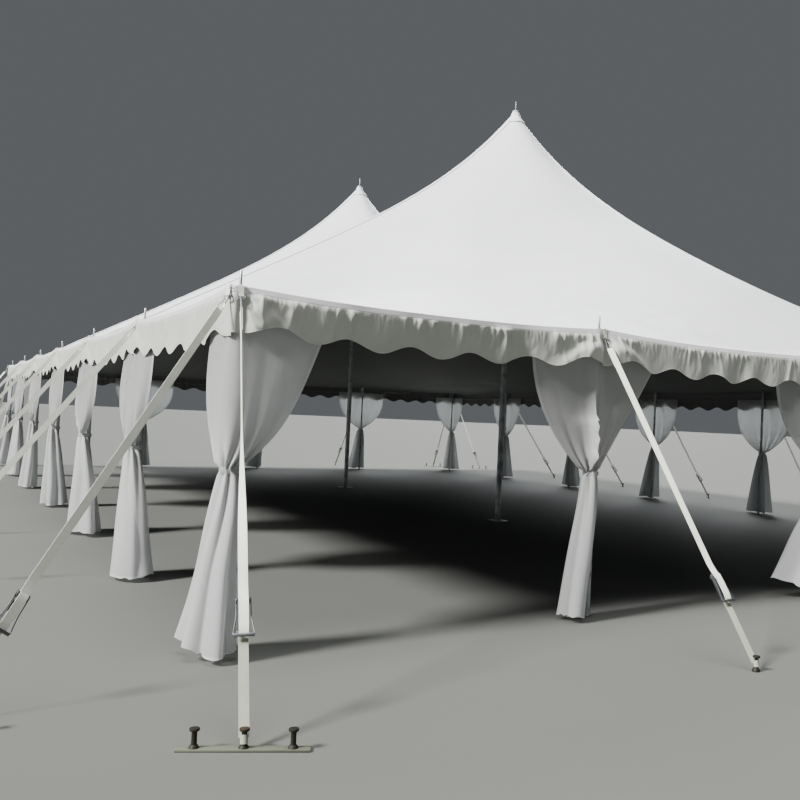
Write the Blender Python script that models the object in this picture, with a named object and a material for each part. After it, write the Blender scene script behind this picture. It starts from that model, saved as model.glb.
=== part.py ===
"""Marquee tent: a pole tent with two peaks, 40 by 60 feet.

Metres, +Z up. X runs across the tent, Y runs along it with the front end at -Y,
and the origin lies on the ground at the middle of the tent.
"""

import math

import bmesh
import bpy
from mathutils import Matrix, Vector

# Plan of the tent
BAY = 3.048
BAYS_ACROSS = 4
BAYS_ALONG = 6
PEAK_OFFSET = 3.048

# Canopy
EAVE_HEIGHT = 2.40
PEAK_HEIGHT = 6.58
ROOF_HOLLOW = 0.194
ROOF_HOLLOW_POWER = 4.4
ROOF_CONTOUR_POWER = 1.65
EAVE_SAG = 0.042
EAVE_SAG_POWER = 2.5
EAVE_SAG_FADE = 6
CLOTH = 0.004
HEM_OUTSIDE = 0.075
HEM_INSIDE = 0.06
LACING_GAP = 0.0003
BAY_STOPS = (0.2, 0.5, 0.8)

# Valance
VALANCE_DEPTH = 0.35
SCALLOP_RISE = 0.065
SCALLOPS_PER_BAY = 6
SCALLOP_STEPS = 4
VALANCE_CLOTH = 0.004

# Poles
SIDE_POLE_RADIUS = 0.024
SIDE_PIN_RADIUS = 0.009
SIDE_PIN_HEIGHT = 0.115
SIDE_FOOT_RADIUS = 0.045
SIDE_FOOT_THICKNESS = 0.008
CENTRE_POLE_RADIUS = 0.045
CENTRE_PIN_RADIUS = 0.012
CENTRE_PIN_HEIGHT = 0.16
CENTRE_HEAD_RADIUS = 0.055
CENTRE_HEAD_THICKNESS = 0.012
CENTRE_FOOT_SIZE = 0.25
CENTRE_FOOT_THICKNESS = 0.012
PIN_CLEARANCE = 0.003
POLE_SIDES = 8
PIN_SIDES = 6

# Drapes: width and thickness at the foot, the tie and the top
DRAPE_FOOT_HEIGHT = 0.02
DRAPE_TIE_HEIGHT = 1.19
DRAPE_TOP_DROP = 0.16
DRAPE_FOOT_SIZE = (0.36, 0.16)
DRAPE_TIE_SIZE = (0.15, 0.10)
DRAPE_TOP_SIZE = (1.30, 0.035)
CORNER_DRAPE_SHARE = 0.62
DRAPE_SWELL_POWER = 0.6
DRAPE_SWELL_LEVEL = 0.8
DRAPE_FLARE_STEPS = 4
DRAPE_SIDES = 8
DRAPE_LINE_THICKNESS = 0.008
DRAPE_LINE_DROP = 0.03

# Guys
STAKE_REACH = 1.80
END_SPLAY = math.radians(12.7)
SIDE_SPLAY = math.radians(27)
WEBBING_WIDTH = 0.05
WEBBING_THICKNESS = 0.004
TAB_START = 0.056
TAB_DROP = 0.08
STRAP_END_HEIGHT = 0.04
RATCHET_SHARE = 0.80
RATCHET_LENGTH = 0.24
RATCHET_WIDTH = 0.075
RATCHET_THICKNESS = 0.045
STAKE_RADIUS = 0.014
STAKE_HEIGHT = 0.105
STAKE_HEAD_RADIUS = 0.025
STAKE_HEAD_THICKNESS = 0.02
STAKE_BAR_LENGTH = 0.62
STAKE_BAR_WIDTH = 0.06
STAKE_BAR_THICKNESS = 0.012
STAKE_BAR_SPACING = 0.227
STAKE_BAR_TURN = math.radians(12.4)
STAKE_SIDES = 6

SEAT = 0.0003
SMOOTH_ANGLE = math.radians(35)
HALF_WIDTH = BAY * BAYS_ACROSS / 2
HALF_LENGTH = BAY * BAYS_ALONG / 2
END_DEPTH = HALF_LENGTH - PEAK_OFFSET
FIELD_HALF_WIDTH = HALF_WIDTH - HEM_INSIDE
FIELD_END_DEPTH = END_DEPTH - HEM_INSIDE
HEM_FLAT = max(HEM_INSIDE, HEM_OUTSIDE)
EDGE_HALF_WIDTH = HALF_WIDTH + HEM_OUTSIDE
EDGE_HALF_LENGTH = HALF_LENGTH + HEM_OUTSIDE
DRAPE_TOP_HEIGHT = EAVE_HEIGHT - DRAPE_TOP_DROP

COLOURS = {
    "canopy": ((0.82, 0.83, 0.85), 0.45, 0.0),
    "valance": ((0.74, 0.74, 0.73), 0.5, 0.0),
    "drape": ((0.80, 0.81, 0.84), 0.85, 0.0),
    "side_pole": ((0.55, 0.56, 0.58), 0.4, 0.9),
    "centre_pole": ((0.50, 0.51, 0.53), 0.4, 0.9),
    "guy": ((0.80, 0.79, 0.75), 0.7, 0.0),
}


def clear_scene():
    for thing in list(bpy.data.objects):
        bpy.data.objects.remove(thing, do_unlink=True)


def collection(name):
    group = bpy.data.collections.new(name)
    bpy.context.scene.collection.children.link(group)
    return group


def material(name, finish):
    """One plain finish for one node."""
    colour, roughness, metallic = COLOURS[finish]
    made = bpy.data.materials.new(name)
    made.use_nodes = True
    shader = made.node_tree.nodes["Principled BSDF"]
    shader.inputs["Base Color"].default_value = (*colour, 1.0)
    shader.inputs["Roughness"].default_value = roughness
    shader.inputs["Metallic"].default_value = metallic
    return made


def mesh_object(name, form, group):
    """Turns a bmesh into an object and frees it."""
    mesh = bpy.data.meshes.new(name)
    form.to_mesh(mesh)
    form.free()
    made = bpy.data.objects.new(name, mesh)
    group.objects.link(made)
    return made


def finish_node(node, finish, smooth=True):
    """Gives a node its own material and rounds its shading."""
    node.data.materials.clear()
    node.data.materials.append(material(node.name, finish))
    if smooth and node.type == "MESH":
        node.data.shade_smooth()
        node.data.set_sharp_from_angle(angle=SMOOTH_ANGLE)
    return node


def cylinder(radius, bottom, top, sides, x=0.0, y=0.0):
    """An upright solid cylinder."""
    form = bmesh.new()
    place = Matrix.Translation((x, y, (bottom + top) / 2))
    bmesh.ops.create_cone(
        form,
        cap_ends=True,
        segments=sides,
        radius1=radius,
        radius2=radius,
        depth=top - bottom,
        matrix=place,
    )
    return form


def box(low, high, turn=Matrix.Identity(4)):
    """A box between two corners, then turned about the origin."""
    form = bmesh.new()
    size = [b - a for a, b in zip(low, high)]
    middle = [(a + b) / 2 for a, b in zip(low, high)]
    place = turn @ Matrix.Translation(middle) @ Matrix.Diagonal((*size, 1))
    bmesh.ops.create_cube(form, size=1, matrix=place)
    return form


def combine(base, others, operation):
    """Applies one Boolean for each other object, and removes those objects."""
    for other in others:
        step = base.modifiers.new(operation, "BOOLEAN")
        step.operation = operation
        step.solver = "EXACT"
        step.object = other
    bpy.context.view_layer.update()
    shown = base.evaluated_get(bpy.context.evaluated_depsgraph_get())
    mesh = bpy.data.meshes.new_from_object(shown)
    base.modifiers.clear()
    base.data = mesh
    for other in others:
        bpy.data.objects.remove(other, do_unlink=True)
    return base


def joined(name, forms, group):
    """One closed solid made from several overlapping forms."""
    first, *rest = [mesh_object(name, form, group) for form in forms]
    return combine(first, rest, "UNION")


# Canopy


def fullness(share):
    """Height of the roof, from 1 at a peak to 0 at the eave, hollow as taut cloth hangs."""
    return (1 - share) * (1 - ROOF_HOLLOW * (1 - (1 - share) ** ROOF_HOLLOW_POWER))


def eave_sag(along):
    """How far the eave hangs between two poles; along is measured from a pole."""
    part = along % BAY
    share = (part - HEM_FLAT) / (BAY - 2 * HEM_FLAT)
    share = min(max(share, 0.0), 1.0)
    return EAVE_SAG * (1 - abs(2 * share - 1) ** EAVE_SAG_POWER)


def roof_height(x, y):
    """Top of the cloth. Contours are round at a peak and square at the eave."""
    if max(abs(x), abs(abs(y) - PEAK_OFFSET)) <= HEM_INSIDE + LACING_GAP:
        return PEAK_HEIGHT
    across = min(abs(x) / FIELD_HALF_WIDTH, 1.0)
    beyond = abs(y) - PEAK_OFFSET
    if beyond > 0:
        along = min(beyond / FIELD_END_DEPTH, 1.0)
    else:
        share = -beyond / PEAK_OFFSET
        along = PEAK_OFFSET / FIELD_HALF_WIDTH * share * (1 - share**2 / 3)
    power = ROOF_CONTOUR_POWER
    contour = (1 - (1 - across**power) * (1 - along**power)) ** (1 / power)
    height = EAVE_HEIGHT + (PEAK_HEIGHT - EAVE_HEIGHT) * fullness(contour)
    sides = eave_sag(y + HALF_LENGTH) * across**EAVE_SAG_FADE
    ends = eave_sag(x + HALF_WIDTH) * along**EAVE_SAG_FADE if beyond > 0 else 0.0
    return height - max(sides, ends)


def stops_between(start, end):
    """Lines of the cloth's grid over the bays from start to end, poles at both."""
    bays = round((end - start) / BAY)
    stops = []
    for bay in range(bays):
        left = start + bay * BAY
        stops.append(left + HEM_INSIDE)
        stops += [left + BAY * share for share in BAY_STOPS]
        stops.append(left + BAY - HEM_INSIDE)
    return stops


def canopy_section(name, low, high, stops_along, group):
    """A stretch of roof between two lacing lines, as a closed shell."""
    across = [-EDGE_HALF_WIDTH, *stops_between(-HALF_WIDTH, HALF_WIDTH), EDGE_HALF_WIDTH]
    along = [low, *stops_along, high]
    columns = len(across) - 1
    rows = len(along) - 1
    form = bmesh.new()
    bmesh.ops.create_grid(form, x_segments=columns, y_segments=rows, size=1)
    for point in form.verts:
        column = round((point.co.x + 1) / 2 * columns)
        row = round((point.co.y + 1) / 2 * rows)
        x = across[column]
        y = along[row]
        point.co = (x, y, roof_height(x, y))
    top = list(form.faces)
    lower = bmesh.ops.extrude_face_region(form, geom=top)
    moved = [part for part in lower["geom"] if isinstance(part, bmesh.types.BMVert)]
    bmesh.ops.translate(form, verts=moved, vec=(0, 0, -CLOTH))
    bmesh.ops.recalc_face_normals(form, faces=form.faces)
    return mesh_object(name, form, group)


def build_canopy(group, cutters):
    seam = PEAK_OFFSET + LACING_GAP / 2
    end_stops = stops_between(PEAK_OFFSET, HALF_LENGTH)
    middle_stops = stops_between(-PEAK_OFFSET, PEAK_OFFSET)
    back = canopy_section("canopy_back_end", seam, EDGE_HALF_LENGTH, end_stops, group)
    front_stops = [-stop for stop in reversed(end_stops)]
    front = canopy_section("canopy_front_end", -EDGE_HALF_LENGTH, -seam, front_stops, group)
    inner = PEAK_OFFSET - LACING_GAP / 2
    middle = canopy_section("canopy_middle", -inner, inner, middle_stops, group)
    for section in (front, middle, back):
        rows = [point.co.y for point in section.data.vertices]
        holes = []
        for index, (x, y) in enumerate(side_pole_places()):
            if min(rows) - HEM_INSIDE < y < max(rows) + HEM_INSIDE:
                hole = cylinder(
                    SIDE_PIN_RADIUS + PIN_CLEARANCE,
                    EAVE_HEIGHT - 2 * CLOTH,
                    EAVE_HEIGHT + CLOTH,
                    PIN_SIDES,
                    x,
                    y,
                )
                holes.append(mesh_object(f"eave_hole_{index}", hole, cutters))
        for y in (-PEAK_OFFSET, PEAK_OFFSET):
            if min(rows) - HEM_INSIDE < y < max(rows) + HEM_INSIDE:
                hole = cylinder(
                    CENTRE_PIN_RADIUS + PIN_CLEARANCE,
                    PEAK_HEIGHT - 2 * CLOTH,
                    PEAK_HEIGHT + CLOTH,
                    PIN_SIDES,
                    0,
                    y,
                )
                holes.append(mesh_object("peak_hole", hole, cutters))
        combine(section, holes, "DIFFERENCE")
        finish_node(section, "canopy")


# Valance


def valance_outline(length, bays):
    """Corners of one hanging valance, from its left end, as distance and height."""
    overhang = (length - bays * BAY) / 2
    steps = bays * SCALLOPS_PER_BAY * SCALLOP_STEPS
    near_pole = HEM_INSIDE / BAY
    top = [(0.0, EAVE_HEIGHT)]
    for bay in range(bays):
        for share in (near_pole, *BAY_STOPS, 1 - near_pole):
            along = overhang + (bay + share) * BAY
            top.append((along, EAVE_HEIGHT - eave_sag(along - overhang)))
    top.append((length, EAVE_HEIGHT))
    bottom = []
    for step in range(steps + 1):
        along = overhang + step * BAY / (SCALLOPS_PER_BAY * SCALLOP_STEPS)
        wave = (1 - math.cos(2 * math.pi * step / SCALLOP_STEPS)) / 2
        sag = eave_sag(along - overhang) / 2
        bottom.append((along, EAVE_HEIGHT - VALANCE_DEPTH + SCALLOP_RISE * wave - sag))
    bottom[0] = (0.0, bottom[0][1])
    bottom[-1] = (length, bottom[-1][1])
    return top + list(reversed(bottom))


def valance(name, length, bays, place, group):
    """A scalloped sheet hung outside the canopy's hem."""
    shape = bpy.data.curves.new(name, "CURVE")
    shape.dimensions = "2D"
    shape.fill_mode = "BOTH"
    shape.extrude = VALANCE_CLOTH / 2
    line = shape.splines.new("POLY")
    outline = valance_outline(length, bays)
    line.points.add(len(outline) - 1)
    for point, (along, height) in zip(line.points, outline):
        point.co = (along - length / 2, height, 0, 1)
    line.use_cyclic_u = True
    made = bpy.data.objects.new(name, shape)
    group.objects.link(made)
    made.matrix_world = place @ Matrix.Rotation(math.radians(90), 4, "X")
    finish_node(made, "valance", smooth=False)
    return made


def build_valances(group):
    out = SEAT + VALANCE_CLOTH / 2
    end_length = 2 * EDGE_HALF_WIDTH
    side_length = 2 * (EDGE_HALF_LENGTH + SEAT + VALANCE_CLOTH)
    for name, sign in (("valance_front", -1), ("valance_back", 1)):
        place = Matrix.Translation((0, sign * (EDGE_HALF_LENGTH + out), 0))
        valance(name, end_length, BAYS_ACROSS, place, group)
    for name, sign in (("valance_left", -1), ("valance_right", 1)):
        place = Matrix.Translation((sign * (EDGE_HALF_WIDTH + out), 0, 0))
        turned = place @ Matrix.Rotation(math.radians(90), 4, "Z")
        valance(name, side_length, BAYS_ALONG, turned, group)


# Poles


def side_pole_places():
    """Places of the side poles: the front end, the back end, then both sides."""
    ends = [i * BAY - HALF_WIDTH for i in range(BAYS_ACROSS + 1)]
    sides = [i * BAY - HALF_LENGTH for i in range(1, BAYS_ALONG)]
    places = [(x, -HALF_LENGTH) for x in ends]
    places += [(x, HALF_LENGTH) for x in ends]
    places += [(-HALF_WIDTH, y) for y in sides]
    places += [(HALF_WIDTH, y) for y in sides]
    return places


def side_pole_names():
    names = [f"side_pole_front_{i + 1}" for i in range(BAYS_ACROSS + 1)]
    names += [f"side_pole_back_{i + 1}" for i in range(BAYS_ACROSS + 1)]
    names += [f"side_pole_left_{i + 1}" for i in range(BAYS_ALONG - 1)]
    names += [f"side_pole_right_{i + 1}" for i in range(BAYS_ALONG - 1)]
    return names


def build_poles(group):
    shoulder = EAVE_HEIGHT - CLOTH - SEAT
    tip = EAVE_HEIGHT + SIDE_PIN_HEIGHT
    forms = [
        cylinder(SIDE_POLE_RADIUS, SIDE_FOOT_THICKNESS / 2, shoulder, POLE_SIDES),
        cylinder(SIDE_FOOT_RADIUS, 0, SIDE_FOOT_THICKNESS, POLE_SIDES),
        cylinder(SIDE_PIN_RADIUS, shoulder - SIDE_PIN_HEIGHT, tip, PIN_SIDES),
    ]
    pattern = joined("side_pole", forms, group)
    for name, (x, y) in zip(side_pole_names(), side_pole_places()):
        pole = bpy.data.objects.new(name, pattern.data.copy())
        pole.location = (x, y, 0)
        group.objects.link(pole)
        finish_node(pole, "side_pole")
    bpy.data.objects.remove(pattern, do_unlink=True)
    head = PEAK_HEIGHT - CLOTH - SEAT
    half_head = CENTRE_HEAD_THICKNESS / 2
    half_foot = CENTRE_FOOT_SIZE / 2
    tip = PEAK_HEIGHT + CENTRE_PIN_HEIGHT
    for name, y in (("centre_pole_front", -PEAK_OFFSET), ("centre_pole_back", PEAK_OFFSET)):
        forms = [
            cylinder(CENTRE_POLE_RADIUS, CENTRE_FOOT_THICKNESS / 2, head - half_head, POLE_SIDES),
            cylinder(CENTRE_HEAD_RADIUS, head - CENTRE_HEAD_THICKNESS, head, POLE_SIDES),
            cylinder(CENTRE_PIN_RADIUS, head - 2 * CENTRE_HEAD_THICKNESS, tip, PIN_SIDES),
            box((-half_foot, -half_foot, 0), (half_foot, half_foot, CENTRE_FOOT_THICKNESS)),
        ]
        pole = joined(name, forms, group)
        pole.location = (0, y, 0)
        finish_node(pole, "centre_pole")


# Drapes


def drape_size(height):
    """Width and thickness of a drape at a height, drawn in at its tie."""
    if height <= DRAPE_TIE_HEIGHT:
        share = (DRAPE_TIE_HEIGHT - height) / (DRAPE_TIE_HEIGHT - DRAPE_FOOT_HEIGHT)
        far = DRAPE_FOOT_SIZE
        share = share**DRAPE_SWELL_POWER
    else:
        share = (height - DRAPE_TIE_HEIGHT) / (DRAPE_TOP_HEIGHT - DRAPE_TIE_HEIGHT)
        far = DRAPE_TOP_SIZE
        share = (share * (2 - share) + share) / 2
    return [near + (end - near) * share for near, end in zip(DRAPE_TIE_SIZE, far)]


def drape(pole_at, corner):
    """A curtain tied back outside its pole; corner is -1, 0 or 1 for the side it is cut at."""
    form = cylinder(0.5, DRAPE_FOOT_HEIGHT, DRAPE_TOP_HEIGHT, DRAPE_SIDES)
    rise = DRAPE_TOP_HEIGHT - DRAPE_TIE_HEIGHT
    levels = [DRAPE_TIE_HEIGHT * DRAPE_SWELL_LEVEL]
    levels += [DRAPE_TIE_HEIGHT + rise * i / DRAPE_FLARE_STEPS for i in range(DRAPE_FLARE_STEPS)]
    for height in levels:
        parts = [*form.verts, *form.edges, *form.faces]
        bmesh.ops.bisect_plane(form, geom=parts, plane_co=(0, 0, height), plane_no=(0, 0, 1))
    inner = SIDE_POLE_RADIUS + SEAT
    for point in form.verts:
        width, thickness = drape_size(point.co.z)
        point.co.x *= width
        if corner:
            width *= CORNER_DRAPE_SHARE
            point.co.x *= CORNER_DRAPE_SHARE
            point.co.x -= corner * (width / 2 - SIDE_POLE_RADIUS)
        point.co.x += pole_at
        point.co.y = point.co.y * thickness - thickness / 2 - inner
    return form


def drape_row(name, bays, turn, out, group):
    """The drapes of one side, hung from one line behind the valance."""
    half = bays * BAY / 2
    forms = []
    for i in range(bays + 1):
        corner = {0: -1, bays: 1}.get(i, 0)
        forms.append(drape(i * BAY - half, corner))
    line_at = SIDE_POLE_RADIUS + SEAT + DRAPE_TOP_SIZE[1] / 2
    reach = half - SIDE_POLE_RADIUS
    thick = DRAPE_LINE_THICKNESS / 2
    height = DRAPE_TOP_HEIGHT - DRAPE_LINE_DROP
    low = (-reach, -line_at - thick, height - thick)
    high = (reach, -line_at + thick, height + thick)
    forms.append(box(low, high))
    row = joined(name, forms, group)
    row.matrix_world = turn @ Matrix.Translation((0, -out, 0))
    finish_node(row, "drape")


def sides_of_tent():
    """Each side as its name, its bays, the turn from the front, and how far out it stands."""
    quarter = math.radians(90)
    return (
        ("front", BAYS_ACROSS, Matrix.Identity(4), HALF_LENGTH),
        ("right", BAYS_ALONG, Matrix.Rotation(quarter, 4, "Z"), HALF_WIDTH),
        ("back", BAYS_ACROSS, Matrix.Rotation(2 * quarter, 4, "Z"), HALF_LENGTH),
        ("left", BAYS_ALONG, Matrix.Rotation(-quarter, 4, "Z"), HALF_WIDTH),
    )


def build_drapes(group):
    for name, bays, turn, out in sides_of_tent():
        drape_row(f"drapes_{name}", bays, turn, out, group)


# Guys


def stake(x, y):
    under_head = STAKE_HEIGHT - STAKE_HEAD_THICKNESS
    shaft_top = STAKE_HEIGHT - STAKE_HEAD_THICKNESS / 2
    shaft = cylinder(STAKE_RADIUS, 0, shaft_top, STAKE_SIDES, x, y)
    head = cylinder(STAKE_HEAD_RADIUS, under_head, STAKE_HEIGHT, STAKE_SIDES, x, y)
    return [shaft, head]


def guy(name, corner, splay, group):
    """A strap from the hem to the ground, pulling along -Y from a pole at the origin."""
    half = WEBBING_WIDTH / 2
    tab_low = EAVE_HEIGHT + SEAT
    tab_high = tab_low + WEBBING_THICKNESS
    valance_face = HEM_OUTSIDE + SEAT + VALANCE_CLOTH
    fall_face = (valance_face + SEAT + half * math.sin(splay)) / math.cos(splay)
    tab_end = fall_face + WEBBING_THICKNESS
    tab_foot = EAVE_HEIGHT - TAB_DROP
    tab = box((-half, -tab_end, tab_low), (half, -TAB_START, tab_high))
    fall = box((-half, -tab_end, tab_foot), (half, -fall_face, tab_high))
    top = Vector((0, -tab_end + WEBBING_THICKNESS / 2, tab_foot + WEBBING_THICKNESS))
    run = Vector((0, -STAKE_REACH, STRAP_END_HEIGHT)) - top
    slope = math.atan2(-run.z, -run.y)
    lie = Matrix.Translation(top) @ Matrix.Rotation(slope, 4, "X")
    thick = WEBBING_THICKNESS / 2
    strap = box((-half, -run.length, -thick), (half, 0, thick), lie)
    at = -run.length * RATCHET_SHARE
    low = (-RATCHET_WIDTH / 2, at - RATCHET_LENGTH / 2, -RATCHET_THICKNESS / 2)
    high = (RATCHET_WIDTH / 2, at + RATCHET_LENGTH / 2, RATCHET_THICKNESS / 2)
    forms = [strap, tab, fall, box(low, high, lie), *stake(0, -STAKE_REACH)]
    if corner:
        turn = Matrix.Translation((0, -STAKE_REACH, 0))
        turn @= Matrix.Rotation(corner * STAKE_BAR_TURN, 4, "Z")
        bar_low = (-STAKE_BAR_LENGTH / 2, -STAKE_BAR_WIDTH / 2, 0)
        bar_high = (STAKE_BAR_LENGTH / 2, STAKE_BAR_WIDTH / 2, STAKE_BAR_THICKNESS)
        forms.append(box(bar_low, bar_high, turn))
        for side in (-1, 1):
            x, y, _ = turn @ Vector((side * STAKE_BAR_SPACING, 0, 0))
            forms += stake(x, y)
    return joined(name, forms, group)


def build_guys(group):
    patterns = {}
    for kind, angle in (("end", END_SPLAY), ("side", SIDE_SPLAY)):
        for corner in (-1, 0, 1):
            splay = abs(corner) * angle
            patterns[kind, corner] = guy(f"guy_pattern_{kind}_{corner}", corner, splay, group)
    for name, bays, turn, out in sides_of_tent():
        kind, angle = ("end", END_SPLAY) if name in ("front", "back") else ("side", SIDE_SPLAY)
        for i in range(bays + 1):
            corner = {0: -1, bays: 1}.get(i, 0)
            made = bpy.data.objects.new(f"guy_{name}_{i + 1}", patterns[kind, corner].data.copy())
            group.objects.link(made)
            place = Matrix.Translation((i * BAY - bays * BAY / 2, -out, 0))
            made.matrix_world = turn @ place @ Matrix.Rotation(corner * angle, 4, "Z")
            finish_node(made, "guy")
    for pattern in patterns.values():
        bpy.data.objects.remove(pattern, do_unlink=True)


def main():
    clear_scene()
    parts = collection("marquee_tent")
    cutters = collection("cutters")
    build_canopy(parts, cutters)
    build_valances(parts)
    build_poles(parts)
    build_drapes(parts)
    build_guys(parts)


main()
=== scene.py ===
"""Looks of a marquee tent: white cloth with two peaks, tied drapes, and strap guys to ground stakes.

Metres, +Z up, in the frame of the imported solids. The front end is at -Y and the left side at -X.
"""

import math

import bpy
import numpy as np
from mathutils import Matrix, Vector


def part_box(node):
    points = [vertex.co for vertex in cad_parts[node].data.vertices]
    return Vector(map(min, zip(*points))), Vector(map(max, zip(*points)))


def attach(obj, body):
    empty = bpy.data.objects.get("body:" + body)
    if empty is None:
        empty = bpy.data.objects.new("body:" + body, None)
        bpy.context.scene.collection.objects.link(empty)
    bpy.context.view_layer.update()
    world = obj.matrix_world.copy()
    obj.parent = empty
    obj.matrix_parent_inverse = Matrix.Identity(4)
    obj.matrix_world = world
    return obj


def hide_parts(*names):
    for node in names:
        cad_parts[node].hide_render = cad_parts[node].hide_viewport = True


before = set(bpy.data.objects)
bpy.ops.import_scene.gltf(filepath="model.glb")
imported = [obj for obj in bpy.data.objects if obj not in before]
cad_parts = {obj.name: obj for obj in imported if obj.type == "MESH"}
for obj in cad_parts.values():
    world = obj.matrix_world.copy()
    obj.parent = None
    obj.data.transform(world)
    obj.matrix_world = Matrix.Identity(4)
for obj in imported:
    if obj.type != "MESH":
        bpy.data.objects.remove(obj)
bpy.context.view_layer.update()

# Side poles
# Twenty galvanised steel tubes hold up the eave, one every ten feet. Each has a welded foot disc, and
# the pin in its top goes up through a steel plate that is let into the hem.

EAVE_HEIGHT = 2.40
POLE_RADIUS = 0.024
PIN_RADIUS = 0.009
PIN_HEIGHT = 0.115
CLOTH = 0.004
SEAT_GAP = 0.0003
HEM_PLATE = (0.075, 0.075, 0.003)
HEM_RING = (0.017, 0.005)
ZINC_LIGHT = (0.46, 0.47, 0.49)
ZINC_GREY = (0.36, 0.37, 0.39)
ZINC_DULL = (0.27, 0.28, 0.30)
ZINC_RUN = (0.16, 0.15, 0.14)


class Value:
    """One output of a shader node. A sum written on it adds its Math node."""

    def __init__(self, finish, output):
        self.finish = finish
        self.output = output

    def maths(self, operation, first, second):
        return self.finish.node("ShaderNodeMath", {"operation": operation}, {0: first, 1: second})

    def __add__(self, other):
        return self.maths("ADD", self, other)

    def __radd__(self, other):
        return self.maths("ADD", other, self)

    def __sub__(self, other):
        return self.maths("SUBTRACT", self, other)

    def __rsub__(self, other):
        return self.maths("SUBTRACT", other, self)

    def __mul__(self, other):
        return self.maths("MULTIPLY", self, other)

    def __rmul__(self, other):
        return self.maths("MULTIPLY", other, self)

    def __rpow__(self, other):
        return self.maths("POWER", other, self)

    def wave(self):
        return self.maths("SINE", self, 0)

    def size(self):
        return self.maths("ABSOLUTE", self, 0)

    def folded(self, width):
        return self.maths("PINGPONG", self, width)


class Finish:
    """One surface finish, made of shader nodes."""

    def __init__(self, name, **fixed):
        self.material = bpy.data.materials.new(name)
        self.material.use_nodes = True
        self.tree = self.material.node_tree
        self.shader = self.tree.nodes["Principled BSDF"]
        for label, value in fixed.items():
            self.shader.inputs[label.replace("_", " ")].default_value = value

    def node(self, kind, settings=None, sockets=None, output=0):
        """Any node: its settings first, then its sockets, each a number, a colour or a Value."""
        made = self.tree.nodes.new(kind)
        for label, setting in (settings or {}).items():
            setattr(made, label, setting)
        for label, value in (sockets or {}).items():
            self.join(made.inputs[label], value)
        return Value(self, made.outputs[output])

    def join(self, socket, value):
        """Links a Value to a socket, or sets the socket to a number or a colour."""
        if isinstance(value, Value):
            self.tree.links.new(value.output, socket)
        else:
            socket.default_value = value

    def place(self):
        """Where a point lies on the object, in metres."""
        return self.node("ShaderNodeTexCoord", output="Object")

    def parts(self, vector):
        """The three numbers of a vector."""
        split = self.node("ShaderNodeSeparateXYZ", None, {0: vector})
        return [Value(self, output) for output in split.output.node.outputs]

    def weave(self):
        """Where a point lies on the flat cloth, in metres: across it and down it."""
        return self.parts(self.node("ShaderNodeTexCoord", output="UV"))[:2]

    def mark(self, label):
        """A number that the cloth keeps at each point: hem, in metres from it, or layers."""
        return self.node("ShaderNodeAttribute", {"attribute_name": label}, output="Fac")

    def vector(self, across, along, up=0.0):
        return self.node("ShaderNodeCombineXYZ", None, {0: across, 1: along, 2: up})

    def glow(self, tone, share):
        """Lets part of the light through the cloth."""
        direct = Value(self, self.shader.outputs[0])
        through = self.node("ShaderNodeBsdfTranslucent", None, {"Color": tone})
        mixed = self.node("ShaderNodeMixShader", None, {"Fac": share, 1: direct, 2: through})
        self.join(self.tree.nodes["Material Output"].inputs["Surface"], mixed)
        return self

    def noise(self, scale, detail=3.0, at=None, rough=0.5):
        sockets = {"Vector": at or self.place(), "Scale": scale, "Detail": detail, "Roughness": rough}
        return self.node("ShaderNodeTexNoise", None, sockets)

    def stretched(self, across, along, up, at=None):
        """The place, scaled by itself along each axis."""
        sockets = {"Vector": at or self.place(), "Scale": (across, along, up)}
        return self.node("ShaderNodeMapping", None, sockets)

    def step(self, value, low, high):
        """0 below low, 1 above high, and smooth between."""
        settings = {"interpolation_type": "SMOOTHSTEP"}
        return self.node("ShaderNodeMapRange", settings, {"Value": value, "From Min": low, "From Max": high})

    def blend(self, share, first, second):
        settings = {"data_type": "RGBA"}
        return self.node("ShaderNodeMix", settings, {0: share, 6: first, 7: second}, 2)

    def surface(self, colour, roughness, height=None, depth=0.001, strength=1.0):
        """Joins the finished colour, roughness and relief to the shader."""
        self.join(self.shader.inputs["Base Color"], colour)
        self.join(self.shader.inputs["Roughness"], roughness)
        if height is not None:
            sockets = {"Height": height, "Distance": depth, "Strength": strength}
            self.join(self.shader.inputs["Normal"], self.node("ShaderNodeBump", None, sockets))
        return self


def shaded(tone, share):
    """A colour taken down to a share of its brightness, with full alpha."""
    return (*(part * share for part in tone[:3]), 1)


def galvanised(name, shade=1.0):
    """Zinc coat with soft crystals, dull patches and a few dark runs; shade below 1 darkens every tone as
    painted shade.
    """
    steel = Finish(name, Metallic=0.85)
    light, grey, worn, run = (shaded(tone, shade) for tone in (ZINC_LIGHT, ZINC_GREY, ZINC_DULL, ZINC_RUN))
    crystals = steel.noise(60, 2)
    patches = steel.step(steel.noise(7, 4), 0.42, 0.66)
    runs = steel.step(steel.noise(18, 4, steel.stretched(1, 1, 0.08)), 0.56, 0.74)
    bright = steel.blend(crystals, light, grey)
    dull = steel.blend(patches, bright, worn)
    colour = steel.blend(runs * 0.6, dull, run)
    return steel.surface(colour, 0.36 + 0.24 * patches, crystals, 0.0004, 0.5)


def deselect():
    bpy.ops.object.select_all(action="DESELECT")


def settled(piece, name, finish=None, angle=40):
    """Names a piece, puts its place into its mesh, rounds its shading and gives it its finish."""
    deselect()
    piece.select_set(True)
    bpy.context.view_layer.objects.active = piece
    bpy.ops.object.transform_apply(location=True, rotation=True, scale=True)
    bpy.ops.object.shade_smooth_by_angle(angle=math.radians(angle))
    piece.name = name
    if finish:
        piece.data.materials.clear()
        piece.data.materials.append(finish.material)
    return piece


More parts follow.
